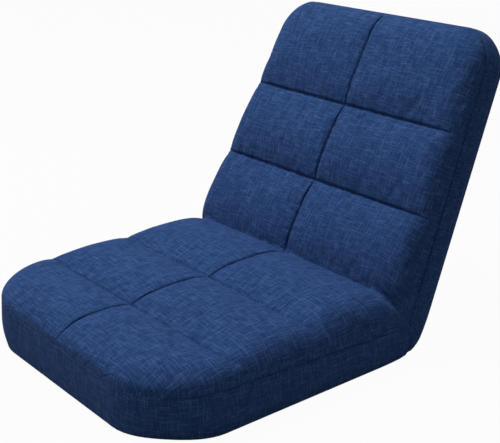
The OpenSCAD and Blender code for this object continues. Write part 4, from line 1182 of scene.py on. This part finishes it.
# %% Thickness of the plain cloths
LINEN_T, FELT_T = 0.0012, 0.0008
for piece, cloth_t in ((side_band, LINEN_T), (rear_cloth, LINEN_T), (underside_cloth, FELT_T)):
    thick = piece.modifiers.new("thickness", "SOLIDIFY")
    thick.thickness, thick.offset = cloth_t, -1
    print(piece.name, "is", cloth_t / MM, "mm thick")

# %% [markdown]
# ## What moves with what
# The face, its stitches, the band and the rear cloth cross the hinge. They could be cut there, but the real
# cloth isn't. Here they are kept whole, baked into the chair's frame, and joined to neither body. The
# underside cloth, its dots and the zip go with the seat, and the slider and its puller with their own body.

# %% Bodies
for piece in (cushion, side_band, rear_cloth, stitches):
    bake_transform(piece)
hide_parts("seat_cover_top", "seat_rear_cover", "back_cover_front", "back_lower_cover", "seat_foam",
            "back_foam", "crease_foam", "seat_base_foam", "back_base_foam")
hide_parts("seat_side_band", "back_side_band", "side_gusset_left", "side_gusset_right")
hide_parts("back_rear_panel", "rear_gusset")
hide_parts("seat_base_panel")
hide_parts("zip_tape")
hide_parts("zip_slider")
for piece, body, slot in (
        (underside_cloth, "seat", "underside_cloth"), (rubber_dots, "seat", "underside_cloth"),
        (zip_tapes, "seat", "zip"), (zip_teeth, "seat", "zip"), (zip_stops, "seat", "zip"),
        (zip_pull, "zip_slider", "zip"), (zip_tab, "zip_slider", "zip")):
    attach(piece, body)


def cloth_area(piece):
    """Area of a piece's own mesh, in square metres."""
    return sum(face.area for face in piece.data.polygons)


# Widest and longest run of each cut, and its area, as measured on the finished pieces
CUTS = ((side_band, (0.092, 2.92), 0.219), (rear_cloth, (0.524, 0.610), 0.286),
        (underside_cloth, (0.514, 0.450), 0.222))
for piece, flat_size, flat_area in CUTS:
    print(piece.name, "cut area", flat_area, "measured", round(cloth_area(piece), 4), "m2")

# %% [markdown]
# ## Floor and light
# The floor is plain and pale and keeps a trace of the chair's shadow. A large soft lamp high above the
# chair, a little to its left, does most of the lighting, and a weak grey world fills the rest. The white
# background is only for the camera, for reflections and for clear materials. It adds no light, because
# light from all round would wash out the cloth's colour and the dips between its panels.

# %% Background
WHITE = (1, 1, 1, 1)


def seen_by_camera(tree):
    """1 for rays of the camera, and for reflections and clear materials."""
    paths = put(tree, "ShaderNodeLightPath")
    either = calc(tree, "MAXIMUM", paths["Is Camera Ray"], paths["Is Glossy Ray"])
    return calc(tree, "MAXIMUM", either, paths["Is Transmission Ray"])


def show_white(tree, lit, white_kind, end, share):
    """Ends a tree: this share of plain white where the camera looks, and the lit shader for other rays."""
    white = put(tree, white_kind, Color=WHITE)[0]
    factor = times(tree, seen_by_camera(tree), share)
    shown = put(tree, "ShaderNodeMixShader", _0=factor, _1=lit.outputs[0], _2=white)[0]
    tree.links.new(shown, tree.nodes[end].inputs["Surface"])


# %% Floor and light
FLOOR_HALF, FLOOR_GREY, FLOOR_WHITE = 8, 0.4, 0.96
WORLD_FILL = 0.17
KEY_AT, KEY_LOOK, KEY_SIZE, KEY_POWER = (-0.98, -0.32, 3.1), (0, 0, 0.2), 1.7, 89

floor = make_mesh("floor", [(-FLOOR_HALF, -FLOOR_HALF, 0), (FLOOR_HALF, -FLOOR_HALF, 0),
                            (FLOOR_HALF, FLOOR_HALF, 0), (-FLOOR_HALF, FLOOR_HALF, 0)], [[0, 1, 2, 3]])
floor_paint, tree, shader = new_material("floor_white")
finish(shader, Base_Color=(FLOOR_GREY, FLOOR_GREY, FLOOR_GREY, 1), Roughness=1.0)
show_white(tree, shader, "ShaderNodeEmission", "Material Output", FLOOR_WHITE)
floor.data.materials.append(floor_paint)

world = bpy.data.worlds.new("studio")
bpy.context.scene.world = world
world.use_nodes = True
fill = world.node_tree.nodes["Background"]
finish(fill, Color=WHITE, Strength=WORLD_FILL)
show_white(world.node_tree, fill, "ShaderNodeBackground", "World Output", 1.0)

key = bpy.data.lights.new("key", "AREA")
key.shape, key.size, key.energy = "DISK", KEY_SIZE, KEY_POWER
aim(link("key", key), KEY_AT, KEY_LOOK)
bpy.context.scene.view_settings.view_transform = "Standard"
print("key lamp:", KEY_POWER, "W, world fill:", WORLD_FILL)
